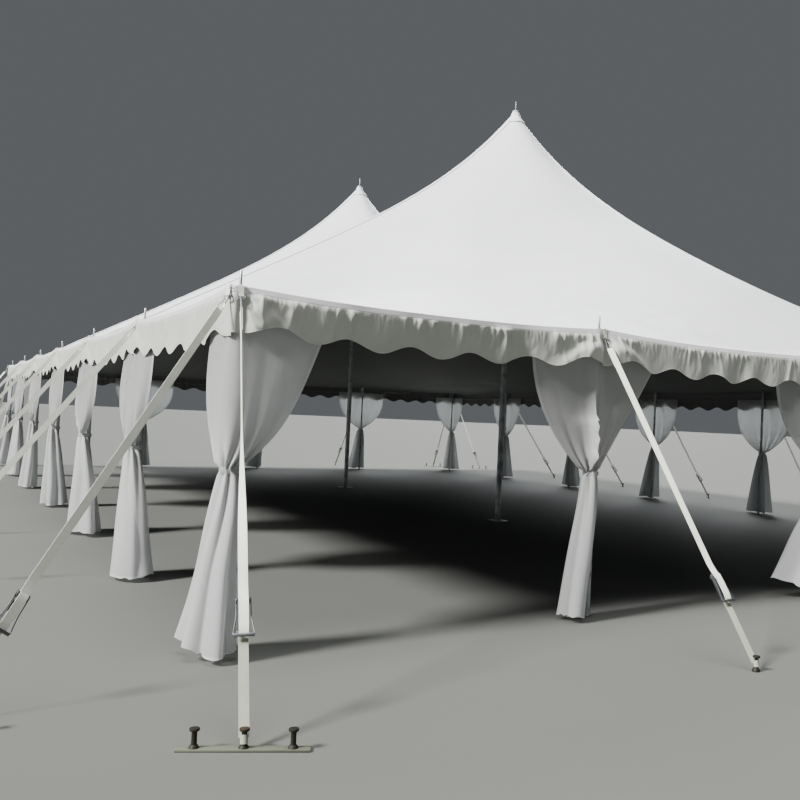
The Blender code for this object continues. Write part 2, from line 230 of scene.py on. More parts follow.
def faces_out(merge=None):
    """Turns the active piece's faces outwards, once the points closer than merge are joined."""
    bpy.ops.object.mode_set(mode="EDIT")
    bpy.ops.mesh.select_all(action="SELECT")
    if merge:
        bpy.ops.mesh.remove_doubles(threshold=merge)
    bpy.ops.mesh.normals_make_consistent(inside=False)
    bpy.ops.object.mode_set(mode="OBJECT")


def turned(name, profile, finish, sides=20):
    """A solid turned about Z, drawn up from a disc through steps of radius and height."""
    deselect()
    radius, height = profile[0]
    low = (0, 0, height)
    bpy.ops.mesh.primitive_circle_add(vertices=sides, radius=radius, fill_type="NGON", location=low)
    piece = bpy.context.object
    bpy.ops.object.mode_set(mode="EDIT")
    bpy.ops.mesh.select_all(action="SELECT")
    for next_radius, next_height in profile[1:]:
        bpy.ops.mesh.extrude_region_move(TRANSFORM_OT_translate={"value": (0, 0, next_height - height)})
        share = next_radius / radius
        bpy.ops.transform.resize(value=(share, share, 1), center_override=(0, 0, 0))
        radius, height = next_radius, next_height
    faces_out()
    return settled(piece, name, finish)


def eased(offset, segments):
    """Bevels every edge of the active piece."""
    bpy.ops.object.mode_set(mode="EDIT")
    bpy.ops.mesh.select_all(action="SELECT")
    bpy.ops.mesh.bevel(offset=offset, segments=segments, affect="EDGES")
    bpy.ops.object.mode_set(mode="OBJECT")


def plate(name, size, middle, finish, edge=0.002):
    """A flat plate or bar with eased edges."""
    deselect()
    bpy.ops.mesh.primitive_cube_add(size=1, location=middle)
    piece = bpy.context.object
    piece.scale = size
    bpy.ops.object.transform_apply(location=False, rotation=False, scale=True)
    eased(edge, 2)
    return settled(piece, name, finish)


def ring(name, radius, wire_radius, at, finish, sides=20, tilt=0.0):
    """A ring of round wire, tilted about X."""
    deselect()
    bpy.ops.mesh.primitive_torus_add(
        major_radius=radius,
        minor_radius=wire_radius,
        major_segments=sides,
        minor_segments=8,
        location=at,
        rotation=(tilt, 0, 0),
    )
    return settled(bpy.context.object, name, finish)


def united(name, pieces):
    """Several pieces as one object, which keeps each one's finish."""
    deselect()
    for piece in pieces:
        piece.select_set(True)
    bpy.context.view_layer.objects.active = pieces[0]
    bpy.ops.object.join()
    pieces[0].name = name
    return pieces[0]


def copied(pattern, name, place):
    """A copy with its own mesh and its place in that mesh."""
    made = bpy.data.objects.new(name, pattern.data.copy())
    made.data.transform(place)
    bpy.context.scene.collection.objects.link(made)
    return made


def fitted(piece, slot, *nodes):
    """Fixes a finished piece to the tent, in the place of the solids that it stands for."""
    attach(piece, "root")
    if nodes:
        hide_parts(*nodes)
    return piece


def middle_of(node):
    low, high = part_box(node)
    return (low + high) / 2


zinc = galvanised("galvanised_steel")
shoulder = EAVE_HEIGHT - CLOTH - SEAT_GAP
side_pole_profile = (
    (0.043, 0.0),
    (0.045, 0.002),
    (0.045, 0.007),
    (0.043, 0.008),
    (0.030, 0.008),
    (0.025, 0.014),
    (POLE_RADIUS, 0.020),
    (POLE_RADIUS, 1.20),
    (POLE_RADIUS, shoulder - 0.004),
    (POLE_RADIUS - 0.004, shoulder),
    (PIN_RADIUS, shoulder),
    (PIN_RADIUS, EAVE_HEIGHT + PIN_HEIGHT - 0.008),
    (0.004, EAVE_HEIGHT + PIN_HEIGHT),
)
pole_pattern = turned("pole_pattern", side_pole_profile, zinc)
hem_plate = plate("hem_plate", HEM_PLATE, (0, 0, EAVE_HEIGHT + 0.0035), zinc, 0.0012)
hem_ring = ring("hem_ring", *HEM_RING, (0, 0, EAVE_HEIGHT + 0.006), zinc)
pole_pattern = united("pole_pattern", [pole_pattern, hem_plate, hem_ring])
side_poles = [node for node in sorted(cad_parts) if node.startswith("side_pole")]
for node in side_poles:
    spot = middle_of(node)
    tube = copied(pole_pattern, f"{node}_tube", Matrix.Translation((spot.x, spot.y, 0)))
    fitted(tube, "pole_steel", node)
bpy.data.objects.remove(pole_pattern)

# Centre poles
# Two thicker steel tubes stand on square foot plates under the peaks. A head disc carries the cloth,
# and a pin goes up through it.

PEAK_HEIGHT = 6.58
CENTRE_RADIUS = 0.045
CENTRE_FOOT = (0.25, 0.25, 0.012)
CENTRE_PIN_HEIGHT = 0.160
HEAD_RADIUS = 0.055
SLEEVE_LOW = 3.20
SLEEVE_HIGH = 3.264
head = PEAK_HEIGHT - CLOTH - SEAT_GAP
centre_profile = (
    (0.060, CENTRE_FOOT[2]),
    (0.047, CENTRE_FOOT[2] + 0.012),
    (CENTRE_RADIUS, 0.030),
    (CENTRE_RADIUS, SLEEVE_LOW),
    (CENTRE_RADIUS + 0.004, SLEEVE_LOW + 0.002),
    (CENTRE_RADIUS + 0.004, SLEEVE_HIGH - 0.002),
    (CENTRE_RADIUS, SLEEVE_HIGH),
    (CENTRE_RADIUS, head - 0.012),
    (HEAD_RADIUS, head - 0.010),
    (HEAD_RADIUS, head),
    (PIN_RADIUS, head),
    (PIN_RADIUS, PEAK_HEIGHT + CENTRE_PIN_HEIGHT - 0.010),
    (0.005, PEAK_HEIGHT + CENTRE_PIN_HEIGHT),
)
for node in ("centre_pole_front", "centre_pole_back"):
    foot = plate("foot", CENTRE_FOOT, (0, 0, CENTRE_FOOT[2] / 2), zinc)
    tube = united(f"{node}_tube", [turned("tube", centre_profile, zinc, 28), foot])
    spot = middle_of(node)
    tube.data.transform(Matrix.Translation((0, spot.y, 0)))
    fitted(tube, "pole_steel", node)

# Canopy
# White coated cloth in three sections, laced together along two seams that run over the peaks. Each
# section is one taut sheet: hollow towards the peaks and sagging a little at the eave between poles.

BAY = 3.048
HALF_WIDTH = 2 * BAY
HALF_LENGTH = 3 * BAY
PEAK_OFFSET = BAY
HEM_OUTSIDE = 0.075
HEM_INSIDE = 0.06
HEM_FLAT = max(HEM_INSIDE, HEM_OUTSIDE)
ROOF_HOLLOW = 0.194
ROOF_HOLLOW_POWER = 4.4
ROOF_CONTOUR_POWER = 1.65
EAVE_SAG = 0.042
EAVE_SAG_POWER = 2.5
EAVE_SAG_FADE = 6
ROOF_STEP = 0.086
EDGE_STEPS = (0, 0.006, 0.014, 0.026, 0.045)
EDGE_ROLL = 0.018
EDGE_ROLL_WIDTH = 0.022
FLAP_WIDTH = 0.16
FLAP_RISE = 0.012
LACING_ROPE = 0.008
SEAMS = (("front", -PEAK_OFFSET), ("back", PEAK_OFFSET))
ROOF_WHITE = (0.81, 0.82, 0.85, 1)
# Painted shade: these near-black greys on the underside and inner faces stand for the shadow under the roof.
UNDERSIDE_SHADE_GREY = (0.13, 0.135, 0.13, 1)
UNDERSIDE_SHADE_DARK = (0.10, 0.105, 0.10, 1)
EDGE_HALF_WIDTH = HALF_WIDTH + HEM_OUTSIDE
EDGE_HALF_LENGTH = HALF_LENGTH + HEM_OUTSIDE


def coated_cloth():
    """Smooth white coated cloth: faint panel seams, soft grime towards the eave, fine weave."""
    coat = Finish("canopy_cloth", Specular_IOR_Level=0.35)
    at = coat.place()
    across, _, height = coat.parts(at)
    clouds = coat.noise(0.8, 5, at, 0.6)
    streaks = coat.noise(3, 4, coat.stretched(1, 1, 0.3, at))
    grime = (1 - coat.step(height, 2.4, 3.3)) * coat.step(streaks, 0.45, 0.75)
    seam_line = 1 - coat.step(across.folded(BAY / 4), 0.012, 0.016)
    patchy = coat.blend(coat.step(clouds, 0.35, 0.7), ROOF_WHITE, (0.76, 0.775, 0.80, 1))
    dirty = coat.blend(grime * 0.35, patchy, (0.60, 0.60, 0.57, 1))
    colour = coat.blend(seam_line * 0.06, dirty, (0.55, 0.56, 0.58, 1))
    weave = coat.noise(420, 2, at)
    relief = weave * 0.15 + seam_line * 0.5 + coat.noise(9, 3, at) * 0.6
    return coat.surface(colour, 0.42 + 0.12 * clouds, relief, 0.0012, 0.5)


def shaded_underside():
    """Painted shade for the underside of the roof and the inner face of the valance: a near-black grey, a
    little cloudy and woven fine.
    """
    under = Finish("canopy_underside_painted_shade", Specular_IOR_Level=0.3)
    tone = under.blend(under.noise(1.2, 4), UNDERSIDE_SHADE_GREY, UNDERSIDE_SHADE_DARK)
    return under.surface(tone, 0.55, under.noise(300, 2), 0.001, 0.2)


def ripples(at, shortest, longest, count, seed):
    """A smooth random wave along a length, mostly between -1 and 1."""
    draw = np.random.default_rng(seed)
    total = 0
    for length, start in zip(draw.uniform(shortest, longest, count), draw.uniform(0, 2 * math.pi, count)):
        total = total + np.sin(2 * math.pi * at / length + start)
    return total * math.sqrt(2 / count) * 0.7


def eave_sag(along):
    """How far the eave hangs between two poles; along is measured from a pole."""
    share = np.clip((np.mod(along, BAY) - HEM_FLAT) / (BAY - 2 * HEM_FLAT), 0, 1)
    return EAVE_SAG * (1 - np.abs(2 * share - 1) ** EAVE_SAG_POWER)


def roof_height(x, y):
    """Top of the cloth. Contours are round at a peak and square at the eave."""
    half_width = HALF_WIDTH - HEM_INSIDE
    across = np.minimum(np.abs(x) / half_width, 1)
    beyond = np.abs(y) - PEAK_OFFSET
    between = np.clip(-beyond / PEAK_OFFSET, 0, 1)
    saddle = PEAK_OFFSET / half_width * between * (1 - between**2 / 3)
    along = np.where(beyond > 0, np.minimum(beyond / half_width, 1), saddle)
    power = ROOF_CONTOUR_POWER
    contour = np.maximum(1 - (1 - across**power) * (1 - along**power), 0) ** (1 / power)
    fullness = (1 - contour) * (1 - ROOF_HOLLOW * (1 - (1 - contour) ** ROOF_HOLLOW_POWER))
    sides = eave_sag(y + HALF_LENGTH) * across**EAVE_SAG_FADE
    ends = np.where(beyond > 0, eave_sag(x + HALF_WIDTH) * along**EAVE_SAG_FADE, 0)
    return EAVE_HEIGHT + (PEAK_HEIGHT - EAVE_HEIGHT) * fullness - np.maximum(sides, ends)


def cloth_height(x, y):
    """The roof with its rolled edge and the soft pulls in the cloth near the eave."""
    out = np.maximum(np.abs(x) - HALF_WIDTH, np.abs(y) - HALF_LENGTH)
    roll = EDGE_ROLL * np.clip((out - HEM_OUTSIDE + EDGE_ROLL_WIDTH) / EDGE_ROLL_WIDTH, 0, 1) ** 2
    inside = np.clip(-out / 1.2, 0, 1)
    pull = 0.004 * ripples(x + 0.4 * y, 0.35, 1.1, 6, 3) * inside * (1 - inside) * 4
    return roof_height(x, y) - roll + pull


def cloth(name, columns, rows, place):
    """A sheet of cloth: a grid whose points are placed by their shares across and up it.

    place gives the points, and in metres the run across, the fall and the way to the nearest hem. It
    can add how many times over the cloth lies there.
    """
    deselect()
    bpy.ops.mesh.primitive_grid_add(x_subdivisions=columns, y_subdivisions=rows, size=2)
    sheet = bpy.context.object
    sheet.name = name
    mesh = sheet.data
    flat = np.empty(3 * len(mesh.vertices), np.float32)
    mesh.vertices.foreach_get("co", flat)
    shares = (flat.reshape(-1, 3).astype(float) + 1) / 2
    points, run, fall, hem, *layers = place(shares[:, 0], shares[:, 1])
    mesh.vertices.foreach_set("co", np.stack(points, 1).astype(np.float32).ravel())
    corners = np.empty(len(mesh.loops), np.int32)
    mesh.loops.foreach_get("vertex_index", corners)
    flat_places = np.stack((run, fall), 1)[corners]
    mesh.uv_layers.active.data.foreach_set("uv", flat_places.astype(np.float32).ravel())
    for label, values in zip(("hem", "layers"), (hem, *layers)):
        mark = mesh.attributes.new(label, "FLOAT", "POINT")
        mark.data.foreach_set("value", (values + np.zeros(len(shares))).astype(np.float32))
    mesh.update()
    return sheet


def thickened(sheet, thickness, finish, shaded_underside=None, angle=60, offset=-1):
    """Gives a sheet its finish and its thickness, inwards from its outer face or as offset says."""
    sheet.data.materials.clear()
    sheet.data.materials.append(finish.material)
    step = sheet.modifiers.new("thickness", "SOLIDIFY")
    step.thickness = thickness
    step.offset = offset
    if shaded_underside:
        sheet.data.materials.append(shaded_underside.material)
        step.material_offset = 1
    bpy.context.view_layer.objects.active = sheet
    bpy.ops.object.modifier_apply(modifier="thickness")
    return settled(sheet, sheet.name, angle=angle)


def even_stops(low, high, step, fine_low=True, fine_high=True):
    """Lines of a sheet's grid, close together near a hem."""
    start = low + EDGE_STEPS[-1] if fine_low else low
    end = high - EDGE_STEPS[-1] if fine_high else high
    stops = list(np.linspace(start, end, 2 * round((end - start) / step / 2) + 1))
    if fine_low:
        stops = [low + out for out in EDGE_STEPS[:-1]] + stops
    if fine_high:
        stops = stops + [high - out for out in reversed(EDGE_STEPS[:-1])]
    return np.array(stops)


def on_stops(shares, stops):
    """The stop that each share of a grid stands for."""
    return stops[np.rint(shares * (len(stops) - 1)).astype(int)]


def canopy_section(node, low, high):
    """One section of the canopy, between two lacing seams or a seam and the eave."""
    across_stops = even_stops(-EDGE_HALF_WIDTH, EDGE_HALF_WIDTH, ROOF_STEP)
    along_stops = even_stops(low, high, ROOF_STEP, low < -HALF_LENGTH, high > HALF_LENGTH)

    def place(across, up):
        x = on_stops(across, across_stops)
        y = on_stops(up, along_stops)
        hem = np.minimum(EDGE_HALF_WIDTH - np.abs(x), EDGE_HALF_LENGTH - np.abs(y))
        return (x, y, cloth_height(x, y)), x, y, hem

    sheet = cloth(f"{node}_cloth", len(across_stops) - 1, len(along_stops) - 1, place)
    thickened(sheet, CLOTH, canopy_finish, shaded_underside_finish)
    fitted(sheet, "canopy", node)
    return sheet


def lacing_flap(name, seam):
    """The strip of cloth that covers a lacing seam, raised on the rope under it."""
    across_stops = even_stops(-EDGE_HALF_WIDTH + 0.01, EDGE_HALF_WIDTH - 0.01, ROOF_STEP)

    def place(across, up):
        x = on_stops(across, across_stops)
        y = seam + (up - 0.5) * FLAP_WIDTH
        hump = FLAP_RISE * (1 - (2 * up - 1) ** 2) + 0.0015 * ripples(x, 0.2, 0.5, 5, 11)
        edge = FLAP_WIDTH * np.minimum(up, 1 - up)
        return (x, y, cloth_height(x, y) + CLOTH + 0.002 + hump), x, y, edge

    flap = cloth(name, len(across_stops) - 1, 8, place)
    return fitted(thickened(flap, 0.003, canopy_finish), "canopy")


def line_of(name, points, thickness, finish, sides=2):
    """A rope, wire or bent bar along points."""
    deselect()
    line = bpy.data.curves.new(name, "CURVE")
    line.dimensions = "3D"
    line.bevel_depth = thickness / 2
    line.bevel_resolution = sides
    line.use_fill_caps = True
    route = line.splines.new("POLY")
    route.points.add(len(points) - 1)
    for point, at in zip(route.points, points):
        point.co = (*at, 1)
    piece = bpy.data.objects.new(name, line)
    bpy.context.scene.collection.objects.link(piece)
    piece.select_set(True)
    bpy.context.view_layer.objects.active = piece
    bpy.ops.object.convert(target="MESH")
    faces_out(0.00005)
    return settled(bpy.context.object, name, finish)


def rope_finish(name, tone):
    """Twisted rope, its strands in a lighter and a darker share of the tone it is given."""
    rope = Finish(name)
    strands = rope.noise(300, 2)
    return rope.surface(rope.blend(strands, tone, shaded(tone, 0.55)), 0.8, strands, 0.001, 0.7)


canopy_finish = coated_cloth()
shaded_underside_finish = shaded_underside()
front_cloth = canopy_section("canopy_front_end", -EDGE_HALF_LENGTH, -PEAK_OFFSET)
middle_cloth = canopy_section("canopy_middle", -PEAK_OFFSET, PEAK_OFFSET)
back_cloth = canopy_section("canopy_back_end", PEAK_OFFSET, EDGE_HALF_LENGTH)

# The near-black cords along both edges of each lacing flap are a painted shadow: the dark line under the
# flap's raised edge.
flap_shadow_cord = rope_finish("flap_edge_painted_shadow", (0.09, 0.08, 0.075, 1))
for side, seam in SEAMS:
    lacing_flap(f"lacing_flap_{side}", seam)
    for edge in (-1, 1):
        y = seam + edge * (FLAP_WIDTH / 2 + 0.003)
        stops = np.linspace(-EDGE_HALF_WIDTH + 0.02, EDGE_HALF_WIDTH - 0.02, 170)
        heights = cloth_height(stops, stops * 0 + y) + LACING_ROPE / 2
        name = f"lacing_{side}_{'outer' if edge * seam > 0 else 'inner'}"
        cord = line_of(name, [(x, y, z) for x, z in zip(stops, heights)], LACING_ROPE, flap_shadow_cord, 1)
        fitted(cord, "canopy")

# Peak caps
# A round patch of doubled cloth takes the wear of each centre pole's head. A pressed steel plate with
# a ring sits on it round the pin.

CAP_RADIUS = 0.17
CAP_HOLE = 0.014
PEAK_PLATE = ((0.036, 0), (0.036, 0.003), (0.022, 0.004), (0.020, 0.009), (0.0125, 0.010))


def smooth(share):
    """0 to 1 with soft ends."""
    share = np.clip(share, 0, 1)
    return share * share * (3 - 2 * share)


def peak_cap(name, y_middle):
    """The doubled cloth round one pin. It lies flat where the plate sits on it."""

    def place(across, up):
        turn = 2 * math.pi * across
        radius = CAP_HOLE + (CAP_RADIUS - CAP_HOLE) * (1 - up)
        x = radius * np.sin(turn)
        y = radius * np.cos(turn)
        flat = 1 - smooth((radius - 0.045) / 0.03)
        laid = cloth_height(x, y + y_middle) + 0.016
        z = laid * (1 - flat) + np.maximum(laid, PEAK_HEIGHT + 0.006) * flat
        return (x, y + y_middle, z), turn * CAP_RADIUS, radius, CAP_RADIUS - radius

    cap = cloth(name, 48, 10, place)
    faces_out(0.0001)
    return fitted(thickened(cap, 0.003, canopy_finish), "canopy")


for side, seam in SEAMS:
    peak_cap(f"peak_cap_{side}", seam)
    disc = turned(f"peak_plate_{side}", PEAK_PLATE, zinc)
    disc.data.transform(Matrix.Translation((0, seam, PEAK_HEIGHT + 0.007)))
    fitted(disc, "pole_steel")

# Valance
# A scalloped skirt of thinner cloth is sewn under a flat band along the hem. It is longer than the
# hem, so it puckers under the band, and it crumples and folds on the slant towards every pole.

VALANCE_DEPTH = 0.35
SCALLOP_RISE = 0.070
SCALLOPS_PER_BAY = 6
VALANCE_CLOTH = 0.002
VALANCE_FACE = 0.004
VALANCE_TOP = EAVE_HEIGHT - 0.006
BAND_DEPTH = 0.040
BAND_SLANT = 0.016
CORNER_ROUND = 0.035
CRUMPLE_REACH = 0.95
VALANCE_ROWS = np.array(
    (0, 0.05, 0.115, 0.135, 0.165, 0.21, 0.27, 0.34, 0.42, 0.51, 0.61, 0.71, 0.81, 0.90, 0.965, 1.0)
)
GATHER_ALLOWANCE = 1.15
# Partly painted shade: the skirt's grey-green is darker and greener than its cloth, standing for the shade
# on it and a green cast of bounced light.
VALANCE_SHADED_TONE = (0.54, 0.545, 0.51, 1)
SIDE_NAMES = ("front", "right", "back", "left")


def valance_cloth():
    """Thin coated cloth with a plain band above, fine creases below it and a bound lower edge. Its
    grey-green tone, the dark in its creases and the line at the band's foot are painted shade.
    """
    skirt = Finish("valance_cloth", Specular_IOR_Level=0.35)
    run, fall = skirt.weave()
    hem = skirt.mark("hem")
    gathers = (skirt.noise(16, 1, skirt.vector(run, fall * 0.25)) - 0.5).size()
    crumples = (skirt.noise(5, 2, skirt.vector(run + fall * 0.4, fall * 0.5), 0.5) - 0.5).size()
    under_band = skirt.step(fall, BAND_DEPTH, BAND_DEPTH + 0.006) * (1 - skirt.step(fall, 0.06, 0.24))
    clouds = skirt.noise(2.5, 4)
    binding = 1 - skirt.step(hem, 0.007, 0.009)
    stitch = skirt.step(hem, 0.0075, 0.0085) * (1 - skirt.step(hem, 0.0105, 0.0115))
    seam_start = skirt.step(fall, BAND_DEPTH - 0.004, BAND_DEPTH)
    seam_shade = seam_start * (1 - skirt.step(fall, BAND_DEPTH + 0.001, BAND_DEPTH + 0.005))
    # Both skirt tones are darkened and tinted green as painted shade.
    tone = skirt.blend(skirt.step(clouds, 0.3, 0.7), VALANCE_SHADED_TONE, (0.49, 0.50, 0.465, 1))
    # Painted shade: the cloth is darkened along the creases of the gathers under the band.
    painted_crease_shade = (1 - skirt.step(gathers, 0.0, 0.05)) * under_band * 0.35
    crease_shaded = skirt.blend(painted_crease_shade, tone, (0.36, 0.37, 0.34, 1))
    band = 1 - skirt.step(fall, BAND_DEPTH, BAND_DEPTH + 0.003)
    banded = skirt.blend(band, crease_shaded, (0.66, 0.66, 0.67, 1))
    seamed = skirt.blend(seam_shade * 0.4, banded, (0.36, 0.37, 0.35, 1))
    bound = skirt.blend(binding * 0.5, seamed, (0.66, 0.66, 0.63, 1))
    colour = skirt.blend(stitch * 0.3, bound, (0.38, 0.38, 0.35, 1))
    crumpled = crumples * skirt.step(fall, BAND_DEPTH, BAND_DEPTH + 0.02)
    relief = gathers * under_band * 1.8 + crumpled * 1.5 + binding * 0.1 - stitch * 0.1 - seam_shade * 0.2
    return skirt.surface(colour, 0.5 + 0.1 * clouds, relief, 0.014, 0.8)


def ridges(run, fall, spots, seed, wide, long, high, slant):
    """Crisp ridges that start at spots along a seam and die away below it.

    wide, long, high and slant are each the least and the most that a ridge can have.
    """
    draw = np.random.default_rng(seed)
    total = 0 * run
    for spot in spots:
        width, length, height, lean = (draw.uniform(*span) for span in (wide, long, high, slant))
        off = (run - spot - lean * fall) / (width * (1 + 0.5 * fall / length))
        total += height * np.exp(-(np.abs(off) ** 1.4)) * np.exp(-((fall / length) ** 1.5))
    return total


def radiating(along, fall, seed, count, reach, high):
    """Folds that spread from one point at a pole, sharp near it and broad farther off."""
    draw = np.random.default_rng(seed)
    away = np.hypot(along, fall)
    angle = np.arctan2(fall, along)
    total = 0 * along
    for k in range(count):
        middle = math.pi * (k + draw.uniform(0.2, 0.8)) / count
        width = 0.009 + draw.uniform(0.06, 0.13) * away
        off = np.abs(angle - middle) * away / width
        fade = np.exp(-((away / (reach * draw.uniform(0.6, 1.2))) ** 2))
        total += draw.uniform(0.5, 1.0) * high * np.exp(-(off**1.5)) * fade * smooth(away / 0.12)
    return total


def valance_relief(s, drop, low, bays, reach, seed):
    """How far the skirt stands off its flat face."""
    draw = np.random.default_rng(seed)
    slant = BAND_SLANT * np.minimum(drop / BAND_DEPTH, 1)
    below = np.maximum(drop - BAND_DEPTH, 0)
    spots = draw.uniform(-reach, reach, round(2 * reach * 18))
    spots = spots[ripples(spots, 0.5, 1.6, 5, seed + 1) > -0.45]
    relief = ridges(s, below, spots, seed + 2, (0.009, 0.018), (0.03, 0.20), (0.007, 0.017), (-0.3, 0.3))
    spots = draw.uniform(-reach, reach, round(2 * reach * 1.1))
    relief += ridges(s, below, spots, seed + 3, (0.018, 0.045), (0.35, 0.9), (0.008, 0.020), (-0.35, 0.35))
    relief *= 1 - np.exp(-below / 0.007)
    relief += 0.010 * ripples(s + 0.3 * drop, 0.25, 0.8, 6, seed + 4) * low
    for number in range(bays + 1):
        along = s - (number - bays / 2) * BAY
        at_end = number in (0, bays)
        high = 0.022 if at_end else 0.018
        span = CRUMPLE_REACH if at_end else 0.5
        folds = radiating(along, drop + 0.01, seed + 7 * number, 16 if at_end else 9, span, high)
        crumple = 1 + 0.45 * ripples(np.hypot(along, drop), 0.09, 0.3, 5, seed + number)
        relief += folds * crumple * smooth(below / 0.03)
        for edge in (-1, 1):
            line = edge * along / draw.uniform(0.40, 0.62)
            kick = draw.uniform(0.045, 0.065) * smooth((low - 0.12 - 0.75 * line) / 0.35)
            kick = (0.3 if at_end else 1.0) * kick
            relief += kick * smooth(edge * along / 0.06) * (1 - np.clip(line, 0, 1) ** 3)
        away = 1 - np.exp(-((along / 0.05) ** 2))
        relief = relief * away + slant * (away - 1)
        relief -= BAND_SLANT * (1 - away) * smooth(below / 0.05)
    return relief + slant


def valance(side, bays, length, turn, out, flat, hang, lean, share, step):
    """One side's valance, in the frame of a side that faces -Y, then turned to its place.

    hang is its depth at a pole, lean how far its foot swings out at places along it, share how deep
    its folds are, and step the width of a face of its grid.
    """
    straight = length / 2 - CORNER_ROUND
    reach = straight + CORNER_ROUND * math.pi / 4
    columns = round(2 * reach / step)
    seed = 40 + 10 * SIDE_NAMES.index(side)

    def place(across, up):
        s = (2 * across - 1) * reach
        bend = np.clip((np.abs(s) - straight) / CORNER_ROUND, 0, math.pi / 4)
        x = np.sign(s) * (np.minimum(np.abs(s), straight) + CORNER_ROUND * np.sin(bend))
        base = out - CORNER_ROUND * (1 - np.cos(bend))
        from_pole = np.clip(x + bays * BAY / 2, 0, bays * BAY)
        sag = eave_sag(from_pole)
        wave = (1 - np.cos(2 * math.pi * from_pole * SCALLOPS_PER_BAY / BAY)) / 2
        depth = hang + 0.4 * sag - SCALLOP_RISE * wave
        drop = on_stops(1 - up, VALANCE_ROWS) * depth
        low = drop / depth
        shift = share * valance_relief(s, drop, low, bays, reach, seed) + np.interp(s, *lean) * low
        shift = shift * smooth((reach - np.abs(s)) / 0.06)
        points = (x + np.sign(s) * shift * np.sin(bend), -base - shift, VALANCE_TOP - sag - drop)
        return points, s, drop, depth - drop

    sheet = cloth(f"valance_{side}_cloth", columns, len(VALANCE_ROWS) - 1, place)
    sheet.data.transform(turn)
    thickened(sheet, VALANCE_CLOTH, valance_finish, shaded_underside_finish)
    fitted(sheet, "valance", f"valance_{side}")
    return sheet


valance_finish = valance_cloth()
quarter = math.radians(90)
SIDES = (
    ("front", 4, Matrix.Identity(4), HALF_LENGTH),
    ("right", 6, Matrix.Rotation(quarter, 4, "Z"), HALF_WIDTH),
    ("back", 4, Matrix.Rotation(2 * quarter, 4, "Z"), HALF_LENGTH),
    ("left", 6, Matrix.Rotation(-quarter, 4, "Z"), HALF_WIDTH),
)
NO_LEAN = ((0,), (0,))
END_LEAN = ((-6.1, -5.5, -5.3, -3.95, -3.75, -2.6, 6), (0, -0.012, -0.06, -0.06, 0.0, 0.025, 0.02))
SIDE_HANG = (0.325, NO_LEAN, 0.4, 0.016)
END_HANG = (0.302, END_LEAN, 1.0, 0.010)
for side, bays, turn, out in SIDES:
    length = bays * BAY + 2 * (HEM_OUTSIDE + VALANCE_FACE)
    flat = (bays * BAY * GATHER_ALLOWANCE, VALANCE_DEPTH)
    hang = END_HANG if side in ("front", "back") else SIDE_HANG
    valance(side, bays, length, turn, out + HEM_OUTSIDE + VALANCE_FACE, flat, *hang)

# Drapes
# A voile curtain hangs on a line behind the valance at every side pole. It falls almost flat, a tie of
# its own cloth draws it in to the pole at waist height, and its hemmed foot just clears the ground.

DRAPE_TOP = 2.24
DRAPE_TIE = 1.19
DRAPE_FOOT = 0.03
TIE_HALF = 0.055
TIE_OUT = 0.062
VOILE = 0.002
DRAPE_HALF_RUN = 0.65
DRAPE_COLUMNS = 72
DRAPE_LEVELS = np.concatenate(
    (np.linspace(DRAPE_FOOT, 1.03, 18), np.linspace(1.06, 1.34, 15), np.linspace(1.38, DRAPE_TOP, 18))
)
THREAD_GAPS = 0.52
CURTAIN_WIDTH = 1.35
LOOP_TURN = 1.42 * math.pi
LOOP_SHOWN = 0.80 * math.pi
LOOP_TUCK = 0.30
GATHERS = 3.5
RIDGE_DRIFT = 0.12
VOILE_WHITE = (0.69, 0.685, 0.68, 1)


def voile():
    """Fine white voile: threads both ways, soft creases down the cloth with painted shade in them, and
    denser hems.
    """
    drapery = Finish("voile", Sheen_Weight=0.2, Sheen_Roughness=0.4, Specular_IOR_Level=0.2)
    run, fall = drapery.weave()
    threads = (run * 2600).wave() * 0.5 + (fall * 2600).wave() * 0.5
    creases = drapery.noise(20, 4, drapery.vector(run, fall * 0.15), 0.6)
    crumples = drapery.noise(30, 3, drapery.vector(run, fall * 0.7), 0.6)
    clouds = drapery.noise(2.2, 3)
    hemmed = 1 - drapery.step(drapery.mark("hem"), 0.022, 0.025)
    tone = drapery.blend(drapery.step(clouds, 0.3, 0.7), VOILE_WHITE, (0.68, 0.68, 0.685, 1))
    # Painted shade: the cloth is darkened where the creases lie.
    crease_shaded = drapery.blend(drapery.step(creases, 0.55, 0.8) * 0.15, tone, (0.58, 0.585, 0.59, 1))
    colour = drapery.blend(hemmed * 0.6, crease_shaded, (0.80, 0.80, 0.81, 1))
    relief = creases * 0.8 + crumples * 0.35 + threads * 0.02 + hemmed * 0.15
    drapery.surface(colour, 0.85, relief, 0.008, 0.6)
    layers = drapery.mark("layers") + hemmed
    drapery.join(drapery.shader.inputs["Alpha"], 1 - THREAD_GAPS**layers)
    return drapery.glow((0.74, 0.76, 0.76, 1), 0.42)


def overlap(off, wide):
    """A fold that rises slowly from its left and drops at once on its right."""
    return np.clip(1 + off / wide, 0, 1) ** 1.2 * np.exp(-((np.maximum(off, 0) / 0.035) ** 2))


def pleat(phase):
    """A fold between -1 and 1, round where it comes forward and sharp where it goes back."""
    return 2 * np.abs(np.cos(phase / 2)) ** 1.3 - 1


